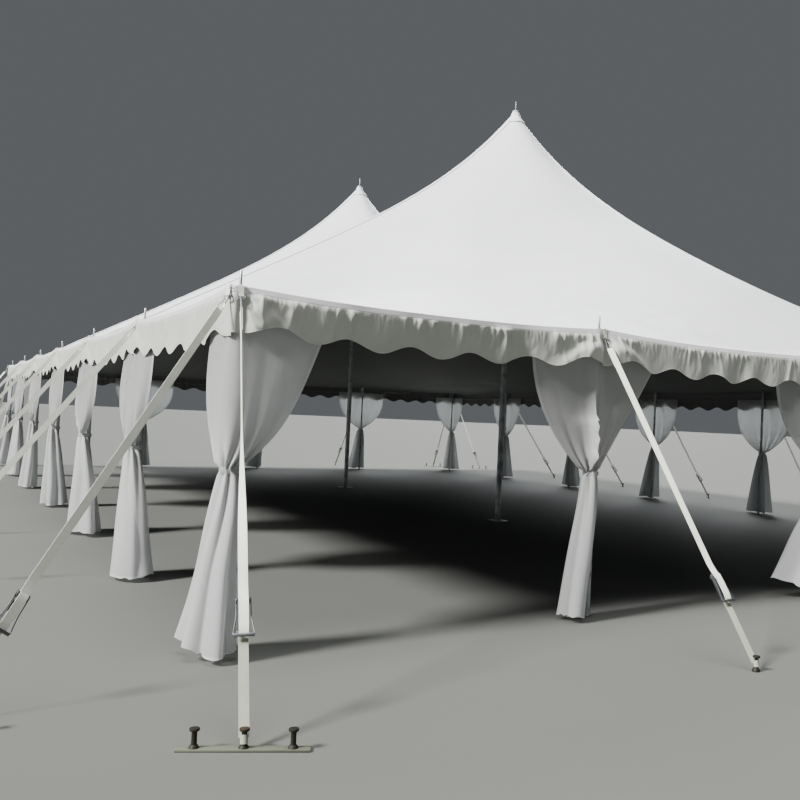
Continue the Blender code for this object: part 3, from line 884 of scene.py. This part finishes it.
class Hang:
    """How one curtain hangs. Lengths are in metres, in the frame of a side that faces -Y."""

    def __init__(self, seed, **given):
        draw = np.random.default_rng(seed)
        self.seed = seed
        self.corner = False
        self.halves = (draw.uniform(0.66, 0.72), draw.uniform(0.66, 0.72))
        self.powers = (draw.uniform(2.6, 3.4), draw.uniform(2.6, 3.4))
        self.straight = (0.0, 0.0)
        self.belly = draw.uniform(0.06, 0.10)
        self.widening = 0.68
        self.tie_across = draw.uniform(-0.015, 0.015)
        self.foot_middle = (draw.uniform(-0.04, 0.20), draw.uniform(0.04, 0.12))
        self.foot_halves = (draw.uniform(0.20, 0.28), draw.uniform(0.14, 0.18))
        self.folds = draw.uniform(4.5, 6.5)
        self.pleat_share = 0.16
        self.ridge = (draw.uniform(-0.25, 0.25), 0.014)
        self.loop_turn = 0.0
        self.lift = 0.0
        self.bundle = (TIE_HALF * 0.9, TIE_HALF * 0.7, TIE_OUT)
        for label, value in given.items():
            setattr(self, label, value)

    def corner_wrap(self, along, out):
        """Carries a run past the corner pole: the left of it turns back along the next side."""
        half = 0.045
        turn = (half - np.clip(along, -half, half)) / (2 * half) * quarter
        straight = np.abs(along) - half
        x = np.where(along > half, straight, np.where(along < -half, -out, -out * np.sin(turn)))
        y = np.where(along > half, -out, np.where(along < -half, straight, -out * np.cos(turn)))
        return x, y

    def above_tie(self, u, share):
        """The flat part: lines of the cloth run straight up from the tie and spread to the top."""
        power = np.where(u < 0, self.powers[0], self.powers[1])
        half = np.where(u < 0, self.halves[0], self.halves[1])
        narrow = self.bundle[0] * 1.1
        straight = np.where(u < 0, self.straight[0], self.straight[1])
        wide = narrow + (half - narrow) * (straight * share + (1 - straight) * (1 - (1 - share) ** power))
        gather = np.exp(-share / 0.14)
        phase = 2 * math.pi * GATHERS * u + 1.5 * ripples(u, 0.7, 1.9, 4, self.seed)
        along = u * wide + self.tie_across * (1 - share) ** 2
        out = POLE_RADIUS + 0.012 + 0.012 * gather
        out = out + self.belly * np.sin(math.pi * share**0.75) * (1 - u**6)
        out = out + (0.052 * gather + 0.003) * (1 + pleat(phase)) / 2
        out = out + 0.006 * (1 - share) * ripples(u + 0.1 * share, 0.3, 0.9, 5, self.seed + 1)
        middle, high = self.ridge
        off = u - middle + RIDGE_DRIFT * (1 - share) - 0.02 * ripples(share, 0.1, 0.3, 4, self.seed + 3)
        crest = overlap(off, 0.14) * (1 - share) ** 0.45
        beside = overlap(off, 0.52) * smooth((0.47 - share) / 0.03)
        bunch = smooth(share / 0.14)
        near_ridge = np.exp(-((off / 0.16) ** 2))
        serrated = 0.13 * ripples(share + 0.35 * u, 0.11, 0.22, 5, self.seed + 2) * near_ridge
        out = out + high * (crest + 0.9 * beside) * bunch * (1 + serrated)
        layers = CURTAIN_WIDTH / 2 / wide + (2.5 * crest + 1.5 * beside) * smooth(high / 0.05)
        if self.corner:
            return *self.corner_wrap(along, out), layers
        return along, -out, layers

    def below_tie(self, u, share):
        """The skirt: a loop of deep folds that widens to the foot, with its two edges tucked inside."""
        grown = share**self.widening
        halves = [near + (far - near) * grown for near, far in zip(self.bundle, self.foot_halves)]
        facing = -quarter / 2 if self.corner else 0.0
        tie_out = self.bundle[2]
        tie_x = self.tie_across * math.cos(facing) + tie_out * math.sin(facing)
        tie_y = self.tie_across * math.sin(facing) - tie_out * math.cos(facing)
        middle_x = tie_x * (1 - grown) + self.foot_middle[0] * share**1.1
        middle_y = tie_y * (1 - grown) - self.foot_middle[1] * share**1.1
        round_at = LOOP_TURN * (u + 0.04 * ripples(u, 0.5, 1.2, 3, self.seed + 5))
        tucked = 1 - LOOP_TUCK * smooth((np.abs(round_at) - LOOP_SHOWN) / (0.4 * math.pi))
        phase = self.folds * round_at + 0.8 * ripples(u, 0.6, 1.5, 4, self.seed + 3)
        phase = phase + 0.5 * ripples(share, 1.0, 2.5, 3, self.seed + 4)
        swell = 1 + self.pleat_share * (0.7 + 0.5 * share) * pleat(phase)
        drawn_in = GATHERS * 1.4 * round_at + 1.5 * ripples(u, 0.5, 1.5, 4, self.seed)
        swell = swell + 0.34 * np.exp(-share / 0.25) * pleat(drawn_in)
        swell = (swell + 0.02 * ripples(u + 0.2 * share, 0.15, 0.4, 5, self.seed + 6)) * tucked
        x = np.sin(round_at) * halves[0] * swell
        y = -np.cos(round_at) * halves[1] * swell
        turn = facing + self.loop_turn * smooth(share / 0.6)
        return (
            middle_x + x * np.cos(turn) - y * np.sin(turn),
            middle_y + x * np.sin(turn) + y * np.cos(turn),
        )

    def place(self, across, up):
        u = 2 * across - 1
        z = on_stops(up, DRAPE_LEVELS)
        above = np.clip((z - DRAPE_TIE) / (DRAPE_TOP - DRAPE_TIE), 0, 1)
        below = np.clip((DRAPE_TIE - z) / (DRAPE_TIE - DRAPE_FOOT), 0, 1)
        x_up, y_up, layers = self.above_tie(u, above)
        x_down, y_down = self.below_tie(u, below)
        share = smooth((DRAPE_TIE + 0.05 - z) / 0.09)
        x = x_up * (1 - share) + x_down * share
        y = y_up * (1 - share) + y_down * share
        ragged = 0.014 * (1 + ripples(u, 0.3, 0.9, 4, self.seed + 7))
        ragged = ragged + 0.006 * ripples(u, 0.08, 0.2, 4, self.seed + 8)
        lifted = self.lift * below**2 * (1 - np.sin(LOOP_TURN * u)) / 2
        z = z + np.maximum(ragged, 0) * below**5 + lifted
        side_hem = DRAPE_HALF_RUN * (1 - np.abs(u))
        layers = layers * (1 - share) + share * (1.3 + 3 * np.exp(-below / 0.2))
        return (x, y, z), u * DRAPE_HALF_RUN, z, np.minimum(side_hem, z - DRAPE_FOOT), layers


def drape(name, place_of, hang):
    """One tied curtain."""
    sheet = cloth(name, DRAPE_COLUMNS, len(DRAPE_LEVELS) - 1, hang.place)
    sheet.data.transform(place_of)
    return thickened(sheet, VOILE, voile_finish)


def tie_band(name, place_of, hang):
    """The rolled cloth tie round the gathered drape and its pole."""
    deselect()
    bpy.ops.mesh.primitive_torus_add(major_segments=40, minor_segments=10, major_radius=1, minor_radius=0.25)
    band = bpy.context.object
    half_x = hang.bundle[0] + 0.009
    half_y = (hang.bundle[1] + hang.bundle[2] + POLE_RADIUS) / 2 + 0.007
    ahead = half_y - POLE_RADIUS - 0.004
    for point in band.data.vertices:
        turn = math.atan2(point.co.y, point.co.x)
        thick = math.hypot(point.co.x, point.co.y) - 1
        roll = 0.026 * thick + 0.002 * math.sin(9 * turn + hang.seed) + 0.0015 * math.sin(17 * turn)
        x = (half_x + roll) * math.cos(turn) + hang.tie_across * 0.7
        y = (half_y + roll) * math.sin(turn) - ahead
        point.co = (x, y, point.co.z * 0.09 + DRAPE_TIE + 0.004 * math.sin(turn * 2 + hang.seed))
        if hang.corner:
            point.co = Matrix.Rotation(-quarter / 2, 3, "Z") @ point.co
    band.data.transform(place_of)
    return settled(band, name, voile_finish)


voile_finish = voile()
CORNER_FRONT = {
    "corner": True,
    "halves": (0.60, 0.68),
    "powers": (2.8, 5.0),
    "straight": (0.0, 0.6),
    "belly": 0.075,
    "tie_across": 0.0,
    "bundle": (0.045, 0.034, 0.048),
    "foot_middle": (-0.148, 0.11),
    "foot_halves": (0.215, 0.135),
    "widening": 0.85,
    "loop_turn": math.radians(-30),
    "folds": 5.5,
    "pleat_share": 0.18,
    "lift": 0.07,
    "ridge": (0.0, 0.0),
}
FIRST_FRONT = {
    "halves": (0.70, 0.66),
    "powers": (2.2, 1.1),
    "belly": 0.05,
    "tie_across": -0.09,
    "foot_middle": (-0.235, 0.12),
    "foot_halves": (0.105, 0.10),
    "widening": 0.55,
    "folds": 2.6,
    "pleat_share": 0.32,
    "ridge": (-0.08, 0.064),
}
SECOND_FRONT = {
    "halves": (0.86, 0.70),
    "powers": (2.7, 2.2),
    "foot_middle": (-0.40, 0.24),
    "foot_halves": (0.40, 0.18),
    "folds": 3.4,
    "loop_turn": math.radians(-25),
    "lift": 0.14,
}
FRONT_ROW = {0: CORNER_FRONT, 1: FIRST_FRONT, 2: SECOND_FRONT}
LEFT_ROW = {
    1: {
        "powers": (3.0, 2.8),
        "belly": 0.09,
        "foot_middle": (0.30, 0.06),
        "foot_halves": (0.27, 0.155),
        "folds": 2.8,
    },
    2: {
        "powers": (3.8, 3.6),
        "belly": 0.08,
        "foot_middle": (0.20, 0.02),
        "foot_halves": (0.34, 0.17),
        "folds": 3.6,
    },
    3: {"foot_middle": (0.10, 0.0), "foot_halves": (0.22, 0.17)},
}
OTHER_CORNER = {
    "corner": True,
    "halves": (0.60, 0.60),
    "tie_across": 0.0,
    "foot_middle": (-0.06, 0.06),
    "belly": 0.03,
}


def read_off(side, i, bays):
    """What the photograph shows of one curtain's hang. The left row counts from the front corner."""
    if side == "front" and i in FRONT_ROW:
        return FRONT_ROW[i]
    if i == 0:
        return OTHER_CORNER
    return LEFT_ROW.get(bays - i, {}) if side == "left" else {}


drape_pieces = {side: [] for side in SIDE_NAMES}
for side, bays, turn, out in SIDES:
    for i in range(bays):
        place_of = turn @ Matrix.Translation((i * BAY - bays * BAY / 2, -out, 0))
        seed = 100 + 10 * i + 100 * SIDE_NAMES.index(side)
        hang = Hang(seed, **read_off(side, i, bays))
        sheet = drape(f"drape_{side}_{i + 1}", place_of, hang)
        band = tie_band(f"drape_tie_{side}_{i + 1}", place_of, hang)
        fitted(band, "drape")
        drape_pieces[side].append((sheet, band))

LINE_HEIGHT = 2.212
LINE_OFF_POLE = 0.009
LINE_END_GAP = 0.03
LINE_WIRE = 0.007
for side, bays, turn, out in SIDES:
    reach = bays * BAY / 2 - LINE_END_GAP
    stops = np.linspace(-reach, reach, 8 * bays + 1)
    heights = LINE_HEIGHT - 0.2 * eave_sag(stops + bays * BAY / 2)
    y = -out - POLE_RADIUS - LINE_OFF_POLE
    points = [turn @ Vector((x, y, z)) for x, z in zip(stops, heights)]
    wire = line_of(f"drape_line_{side}", points, LINE_WIRE, zinc, 1)
    fitted(wire, "pole_steel")
    for number, (sheet, band) in enumerate(drape_pieces[side]):
        nodes = [f"drapes_{side}"] if number == 0 else []
        fitted(sheet, "drape", *nodes)

# Guys
# A strap guy runs from each pole's hem tab to a ground stake: ring, hook, 50 mm webbing, a ratchet
# that tightens it, a lower strap and a stake. At a corner the stake stands in a bar with two more.

STAKE_REACH = 1.80
STRAP_TOP = 2.324
STRAP_FOOT = 0.04
TAB_STANDS_OUT = 0.0826
END_SPLAY = math.radians(12.7)
SIDE_SPLAY = math.radians(27)
WEBBING_WIDTH = 0.05
WEBBING_THICKNESS = 0.0028
TAB_WIDTH = 0.034
TAB_RING = (0.026, 0.0036)
TAB_RING_TILT = 0.55 * quarter
EYE_RADIUS = 0.0185
EYE_WIDTH = 0.042
EYE_HEIGHT = 0.052
EYE_LEAN = math.radians(-14)
RATCHET_SHARE = 0.80
FRONT_LEFT_SHARE = 0.78
RATCHET_HALF = 0.085
STAKE_BAR = (0.62, 0.06, 0.012)
STAKE_BAR_SPACING = 0.227
STAKE_BAR_TURN = math.radians(12.4)
STAKE_HEIGHT = 0.105
UPPER_WEBBING = (0.88, 0.89, 0.80, 1)
LOWER_WEBBING = (0.40, 0.42, 0.34, 1)


def webbing(name, tone):
    """Flat woven webbing: ribs across, two darker selvedge lines, soiled in patches."""
    strap = Finish(name, Specular_IOR_Level=0.25)
    run, fall = strap.weave()
    ribs = (fall * 2100).wave()
    rows = (run * 1500).wave()
    soil = strap.step(strap.noise(5, 5, None, 0.65), 0.42, 0.75)
    edge = run.size()
    line = strap.step(edge, 0.0175, 0.0185) * (1 - strap.step(edge, 0.0195, 0.0205))
    stained = strap.blend(soil * 0.4, tone, shaded(tone, 0.75))
    colour = strap.blend(line * 0.25, stained, shaded(tone, 0.5))
    return strap.surface(colour, 0.72, ribs * 0.5 + rows * 0.35, 0.0006, 0.6)


def forged(name, tone, rust_share):
    """Dark forged steel with rust coming through."""
    iron = Finish(name, Metallic=0.4)
    rust = iron.step(iron.noise(26, 5), 0.62 - rust_share, 0.80 - rust_share)
    pits = iron.noise(120, 4)
    colour = iron.blend(rust, tone, (0.15, 0.065, 0.035, 1))
    return iron.surface(colour, 0.62 + 0.25 * rust, pits, 0.0012, 0.8)


def ribbon(name, points, width, finish, twist=None):
    """A flat strap along points in the plane X = 0, with its width along X.

    twist is the turn at each point, about the line Y.
    """
    route = np.array(points, float)
    turns = np.zeros(len(route)) if twist is None else np.array(twist, float)
    steps = np.hypot(*np.diff(route, axis=0).T)
    run_at = np.concatenate(([0], np.cumsum(steps)))

    def place(across, up):
        k = np.rint((1 - up) * (len(route) - 1)).astype(int)
        side = (across - 0.5) * width
        x = side * np.cos(turns[k]) + route[k, 1] * np.sin(turns[k])
        y = route[k, 0]
        z = route[k, 1] * np.cos(turns[k]) - side * np.sin(turns[k])
        return (x, y, z), side, run_at[k], width / 2 - np.abs(side)

    strip = cloth(name, 4, len(route) - 1, place)
    faces_out()
    return thickened(strip, WEBBING_THICKNESS, finish, angle=50, offset=0)


def bent_bar(name, points, thickness, finish):
    """A bar or wire bent through a few points, rounded between them."""
    rough = np.array(points, float)
    fine = []
    for k in range(len(rough) - 1):
        before = rough[max(k - 1, 0)]
        after = rough[min(k + 2, len(rough) - 1)]
        for share in np.arange(0, 1, 0.2):
            slope_a = (rough[k + 1] - before) / 2
            slope_b = (after - rough[k]) / 2
            square = share**2
            cube = share**3
            point = (2 * cube - 3 * square + 1) * rough[k] + (cube - 2 * square + share) * slope_a
            point = point + (3 * square - 2 * cube) * rough[k + 1] + (cube - square) * slope_b
            fine.append(point)
    fine.append(rough[-1])
    return line_of(name, fine, thickness, finish, 2)


def cross_bar(name, radius, length, at, finish, sides=16):
    """A bolt or drum that lies across the strap."""
    deselect()
    bpy.ops.mesh.primitive_cylinder_add(
        vertices=sides, radius=radius, depth=length, location=at, rotation=(0, quarter, 0)
    )
    piece = bpy.context.object
    eased(radius * 0.12, 1)
    return settled(piece, name, finish)


def hook():
    """The double wire hook at the top of a strap, in the strap's frame: Y runs down it, Z stands off it."""
    points = (
        (0.012, 0.120, 0.0),
        (0.019, 0.112, 0.0),
        (0.019, 0.085, 0.0),
        (0.011, 0.055, 0.0),
        (0.009, 0.020, 0.004),
        (0.009, -0.004, 0.010),
        (0.009, -0.010, 0.020),
        (0.009, 0.004, 0.027),
        (0.009, 0.024, 0.022),
    )
    path = [(-x, y, z) for x, y, z in reversed(points)] + list(points)
    return bent_bar("hook_wire", path, 0.006, bright_steel)


def ratchet():
    """Two toothed cheeks, a drum, a bolt and a shut handle, with the drum above Y = 0 and the bolt below."""
    drum = -RATCHET_HALF
    steel = []
    for edge in (-1, 1):
        steel.append(plate("cheek", (0.003, 0.200, 0.034), (edge * 0.0285, 0, 0.003), ratchet_steel_shaded, 0.0012))
        gear = cross_bar("gear", 0.021, 0.004, (edge * 0.0335, drum, 0.004), ratchet_steel_shaded, 28)
        for point in gear.data.vertices:
            turn = math.atan2(point.co.z - 0.004, point.co.y - drum)
            tooth = 1 - 0.13 * ((turn / (2 * math.pi) * 14) % 1)
            point.co.y = drum + (point.co.y - drum) * tooth
            point.co.z = 0.004 + (point.co.z - 0.004) * tooth
        steel.append(gear)
        handle = (
            (edge * 0.0375, drum - 0.012, 0.004),
            (edge * 0.0380, drum + 0.030, 0.014),
            (edge * 0.0385, drum + 0.095, 0.022),
            (edge * 0.0460, drum + 0.150, 0.024),
            (edge * 0.0520, drum + 0.185, 0.026),
            (edge * 0.0500, drum + 0.196, 0.026),
        )
        steel.append(bent_bar("handle_side", handle, 0.0065, ratchet_steel_shaded))
    steel.append(cross_bar("drum", 0.011, 0.078, (0, drum, 0.004), ratchet_steel_shaded))
    steel.append(cross_bar("bolt", 0.006, 0.068, (0, RATCHET_HALF, 0.0), bright_steel))
    steel.append(plate("grip", (0.104, 0.018, 0.008), (0, drum + 0.196, 0.026), ratchet_steel_shaded, 0.0014))
    steel.append(plate("latch", (0.052, 0.060, 0.0025), (0, drum + 0.070, 0.016), ratchet_steel_shaded, 0.001))
    return united("ratchet", steel)


def turning(top, foot, first, last):
    """How far a strap is turned about its run, by its share of the way.

    It turns from the top's to the foot's degrees between the shares first and last.
    """
    top = math.radians(top)
    foot = math.radians(foot)

    def at(share):
        return top + (foot - top) * smooth((share - first) / (last - first))

    return at


def straps(length, share, turn_at):
    """The webbing of one guy, in the strap's frame, with its ratchet at a share of its length."""
    middle = length * share
    drum = middle - RATCHET_HALF
    bolt = middle + RATCHET_HALF
    half_turn = np.linspace(-quarter, -3 * quarter, 7)
    end_loop = [(0.118 + 0.004 * math.cos(a), 0.004 * math.sin(a)) for a in half_turn]
    upper = [(0.30, -0.0045), (0.25, -0.0042), (0.16, -0.0040)] + end_loop
    upper += [(0.16, 0.004), (0.25, 0.003)]
    upper += [(y, 0.0015) for y in np.linspace(0.33, drum - 0.10, 24)]
    upper += [(drum - 0.03, 0.012), (drum - 0.012, 0.019)]
    wraps = np.linspace(0, 2 * math.pi * 0.98, 14)[1:]
    upper += [(drum + 0.019 * math.sin(a), 0.004 + 0.019 * math.cos(a)) for a in wraps]
    tail = [(-0.016, 0.016), (-0.004, 0.0255), (0.03, 0.031), (0.08, 0.0335)]
    tail += [(0.14, 0.0335), (0.178, 0.031), (0.196, 0.021), (0.190, 0.010)]
    tail = [(drum + y, z) for y, z in tail]
    lower = [(bolt - 0.010, 0.004), (bolt - 0.008, -0.003), (bolt, -0.0075), (bolt + 0.05, -0.004)]
    lower += [(y, -0.001) for y in np.linspace(bolt + 0.10, length - 0.02, 10)]
    strips = []
    for name, path in (("upper", upper), ("tail", tail), ("lower", lower)):
        finish = lower_finish if name == "lower" else upper_finish
        strips.append(ribbon(name, path, WEBBING_WIDTH, finish, [turn_at(y / length) for y, z in path]))
    return strips


def hem_tab(tab_face):
    """The tab that comes off the hem, folds over the eave and holds the ring in its lower bend."""
    rounded = [
        (-0.0015 - 0.0025 * math.sin(a), EAVE_HEIGHT - 0.003 + 0.0055 * math.cos(a))
        for a in np.linspace(0.2, 1.5, 5)
    ]
    path = [(y - tab_face + TAB_STANDS_OUT, EAVE_HEIGHT + 0.0025) for y in (-0.050, -0.060, -0.070)]
    path += [(y - tab_face + 0.003, z) for y, z in rounded]
    falling = ((-0.001, 2.37), (-0.002, 2.345), (-0.005, 2.331), (0.001, 2.326))
    rising = ((0.003, 2.345), (0.003, 2.37))
    path += [(y - tab_face, z) for y, z in falling + rising]
    return ribbon("hem_tab", path, TAB_WIDTH, upper_finish)


def eye():
    """The sewn loop of webbing round a stake. The pull of the strap tips it."""
    deselect()
    bpy.ops.mesh.primitive_cylinder_add(
        vertices=24, radius=EYE_RADIUS, depth=EYE_WIDTH, end_fill_type="NOTHING"
    )
    loop = bpy.context.object
    loop.name = "stake_loop"
    thickened(loop, WEBBING_THICKNESS, lower_finish, angle=40)
    lean = Matrix.Rotation(EYE_LEAN, 4, "X")
    loop.data.transform(Matrix.Translation((0, -STAKE_REACH, EYE_HEIGHT)) @ lean)
    return loop


def stake(name, head_finish):
    """A forged stake driven almost home."""
    profile = (
        (0.027, 0.0),
        (0.026, 0.010),
        (0.019, 0.024),
        (0.0135, 0.028),
        (0.0130, 0.082),
        (0.0155, 0.088),
        (0.0235, 0.092),
        (0.0250, 0.098),
        (0.0235, 0.1035),
        (0.0150, STAKE_HEIGHT),
    )
    made = turned(name, profile, stake_iron, 18)
    made.data.materials.append(head_finish.material)
    for face in made.data.polygons:
        if face.center.z > 0.100:
            face.material_index = 1
    return made


def anchor(name, corner):
    """The stake that holds a guy. At a corner it stands in a flat bar between two more."""
    at_foot = Matrix.Translation((0, -STAKE_REACH, 0))
    stakes = [copied(rusty_stake if corner else plain_stake, "stake_middle", at_foot)]
    if corner:
        bar_place = at_foot @ Matrix.Rotation(corner * STAKE_BAR_TURN, 4, "Z")
        bar = plate("bar", STAKE_BAR, (0, 0, STAKE_BAR[2] / 2), bar_paint, 0.0025)
        bar.data.transform(bar_place)
        for edge in (-1, 1):
            outer = Matrix.Translation((edge * STAKE_BAR_SPACING, 0, 0))
            stakes.append(copied(plain_stake, "stake_outer", bar_place @ outer))
        stakes.append(bar)
    return united(name, stakes)


upper_finish = webbing("upper_webbing", UPPER_WEBBING)
lower_finish = webbing("lower_webbing", LOWER_WEBBING)
bright_steel = galvanised("hook_steel")
# Painted shade: the ratchets are the same zinc as the hooks, taken down to about a third for the shade and
# dark reflections low by the ground.
ratchet_steel_shaded = galvanised("ratchet_steel_shaded", 0.35)
stake_iron = forged("stake_iron", (0.018, 0.017, 0.010, 1), 0.0)
rusty_head = forged("rusty_head", (0.040, 0.024, 0.014, 1), 0.06)
bar_paint = Finish("bar_paint")
bar_wear = bar_paint.step(bar_paint.noise(13, 6, None, 0.7), 0.56, 0.70)
bar_tone = bar_paint.blend(bar_wear, (0.115, 0.125, 0.09, 1), (0.07, 0.05, 0.035, 1))
bar_paint.surface(bar_tone, 0.6 + 0.25 * bar_wear, bar_paint.noise(60, 4) * 0.3 - bar_wear, 0.001, 0.7)

hook_pattern = hook()
ratchet_pattern = ratchet()
plain_stake = stake("plain_stake", stake_iron)
rusty_stake = stake("rusty_stake", rusty_head)
# By side and corner: the degrees at a strap's top and foot, and the shares of its way between which
# it turns from one to the other.
TURNS = {
    ("front", 0): (24, 8, 0.0, 0.7),
    ("back", 0): (-24, -8, 0.0, 0.7),
    ("left", 0): (-84, -80, 0.0, 1.0),
    ("right", 0): (84, 80, 0.0, 1.0),
    ("front", -1): (88, 0, 0.33, 0.74),
    ("left", 1): (-80, -76, 0.0, 1.0),
}
for side, bays, turn, out in SIDES:
    splay = END_SPLAY if side in ("front", "back") else SIDE_SPLAY
    for i in range(bays + 1):
        corner = {0: -1, bays: 1}.get(i, 0)
        node = f"guy_{side}_{i + 1}"
        angle = abs(corner) * splay
        tab_face = (TAB_STANDS_OUT - 0.003 + WEBBING_WIDTH / 2 * math.sin(angle)) / math.cos(angle) + 0.003
        start = Vector((0, -tab_face, STRAP_TOP))
        run = Vector((0, -STAKE_REACH, STRAP_FOOT)) - start
        slope = math.atan2(-run.z, -run.y)
        lie = Matrix.Translation(start) @ Matrix.Rotation(slope, 4, "X") @ Matrix.Rotation(math.pi, 4, "Z")
        turn_at = turning(*TURNS.get((side, corner), (corner * 50, 0, 0.0, 0.7)))

        share = FRONT_LEFT_SHARE if (side, corner) == ("front", -1) else RATCHET_SHARE
        webs = straps(run.length, share, turn_at)
        hooked = copied(hook_pattern, "hook", lie @ Matrix.Rotation(turn_at(0.0), 4, "Y"))
        at_ratchet = Matrix.Translation((0, run.length * share, 0)) @ Matrix.Rotation(turn_at(share), 4, "Y")
        tightener = copied(ratchet_pattern, "ratchet", lie @ at_ratchet)
        for strip in webs:
            strip.data.transform(lie)
        ring_at = (0, start.y - 0.004, start.z + 0.004)
        tab_ring = ring("tab_ring", *TAB_RING, ring_at, bright_steel, 28, TAB_RING_TILT)
        webs += [hem_tab(tab_face), eye()]

        to_pole = turn @ Matrix.Translation((i * BAY - bays * BAY / 2, -out, 0))
        place_of = to_pole @ Matrix.Rotation(corner * splay, 4, "Z")
        web = united(f"{node}_webbing", webs)
        web.data.transform(place_of)
        fitted(web, "webbing", node)
        steel = united(f"{node}_fittings", [hooked, tightener, tab_ring])
        steel.data.transform(place_of)
        fitted(steel, "pole_steel")
        stakes = anchor(f"{node}_stakes", corner)
        stakes.data.transform(place_of)
        fitted(stakes, "pole_steel")
for pattern in (hook_pattern, ratchet_pattern, plain_stake, rusty_stake):
    bpy.data.objects.remove(pattern)

# Floor, light and camera
# A plain pale floor and soft light. The camera stands at the photograph's place, low in front of the
# left corner, and leans a little as it does.

CAMERA_PLACE = (-7.828, -15.022, 1.591)
CAMERA_YAW = math.radians(-32.011)
CAMERA_PITCH = math.radians(0.903)
CAMERA_ROLL = math.radians(2.583)
FOCAL_PIXELS = 893.4
FRAME_PIXELS = 800
MIDDLE_PIXEL = (484.3, 406.4)
FLOOR_SIZE = 900
FLOOR_GREY = (0.13, 0.135, 0.125, 1)
FLOOR_DARK = (0.12, 0.125, 0.115, 1)
STUDIO_TONE = (0.62, 0.66, 0.69, 1)
STUDIO_STRENGTH = 0.18

deselect()
bpy.ops.mesh.primitive_plane_add(size=FLOOR_SIZE, location=(0, 0, -0.001))
floor = bpy.context.object
floor.name = "floor"
floor_finish = Finish("floor_finish", Specular_IOR_Level=0.2)
floor_finish.surface(floor_finish.blend(floor_finish.noise(0.6, 3), FLOOR_GREY, FLOOR_DARK), 0.9)
floor.data.materials.append(floor_finish.material)

world = bpy.data.worlds.new("studio")
bpy.context.scene.world = world
world.use_nodes = True
backdrop = world.node_tree.nodes["Background"]
backdrop.inputs["Color"].default_value = STUDIO_TONE
backdrop.inputs["Strength"].default_value = STUDIO_STRENGTH


def soft_light(name, strength, angle, direction, tone=(1, 1, 1)):
    lamp = bpy.data.lights.new(name, "SUN")
    lamp.energy = strength
    lamp.angle = math.radians(angle)
    lamp.color = tone
    holder = bpy.data.objects.new(name, lamp)
    holder.rotation_mode = "QUATERNION"
    holder.rotation_quaternion = Vector(direction).to_track_quat("-Z", "Y")
    bpy.context.scene.collection.objects.link(holder)


soft_light("overhead", 3.0, 40, (0.0, 0.0, -1))
soft_light("key", 9.5, 12, (0.80, 0.03, -0.60), (1, 0.99, 0.97))
soft_light("behind", 3.0, 30, (-0.55, -0.72, -0.42), (0.95, 0.98, 1))

ahead = Vector(
    (
        -math.sin(CAMERA_YAW) * math.cos(CAMERA_PITCH),
        math.cos(CAMERA_YAW) * math.cos(CAMERA_PITCH),
        math.sin(CAMERA_PITCH),
    )
)
level = Vector((math.cos(CAMERA_YAW), math.sin(CAMERA_YAW), 0))
upright = level.cross(ahead)
right = math.cos(CAMERA_ROLL) * level + math.sin(CAMERA_ROLL) * upright
up = math.cos(CAMERA_ROLL) * upright - math.sin(CAMERA_ROLL) * level
lens = bpy.data.cameras.new("camera")
lens.sensor_width = 36
lens.lens = FOCAL_PIXELS / FRAME_PIXELS * lens.sensor_width
lens.shift_x = (FRAME_PIXELS / 2 - MIDDLE_PIXEL[0]) / FRAME_PIXELS
lens.shift_y = (MIDDLE_PIXEL[1] - FRAME_PIXELS / 2) / FRAME_PIXELS
lens.clip_end = 2000
camera = bpy.data.objects.new("camera", lens)
turned_frame = Matrix((right, up, -ahead)).transposed().to_4x4()
camera.matrix_world = Matrix.Translation(CAMERA_PLACE) @ turned_frame
bpy.context.scene.collection.objects.link(camera)
bpy.context.scene.camera = camera
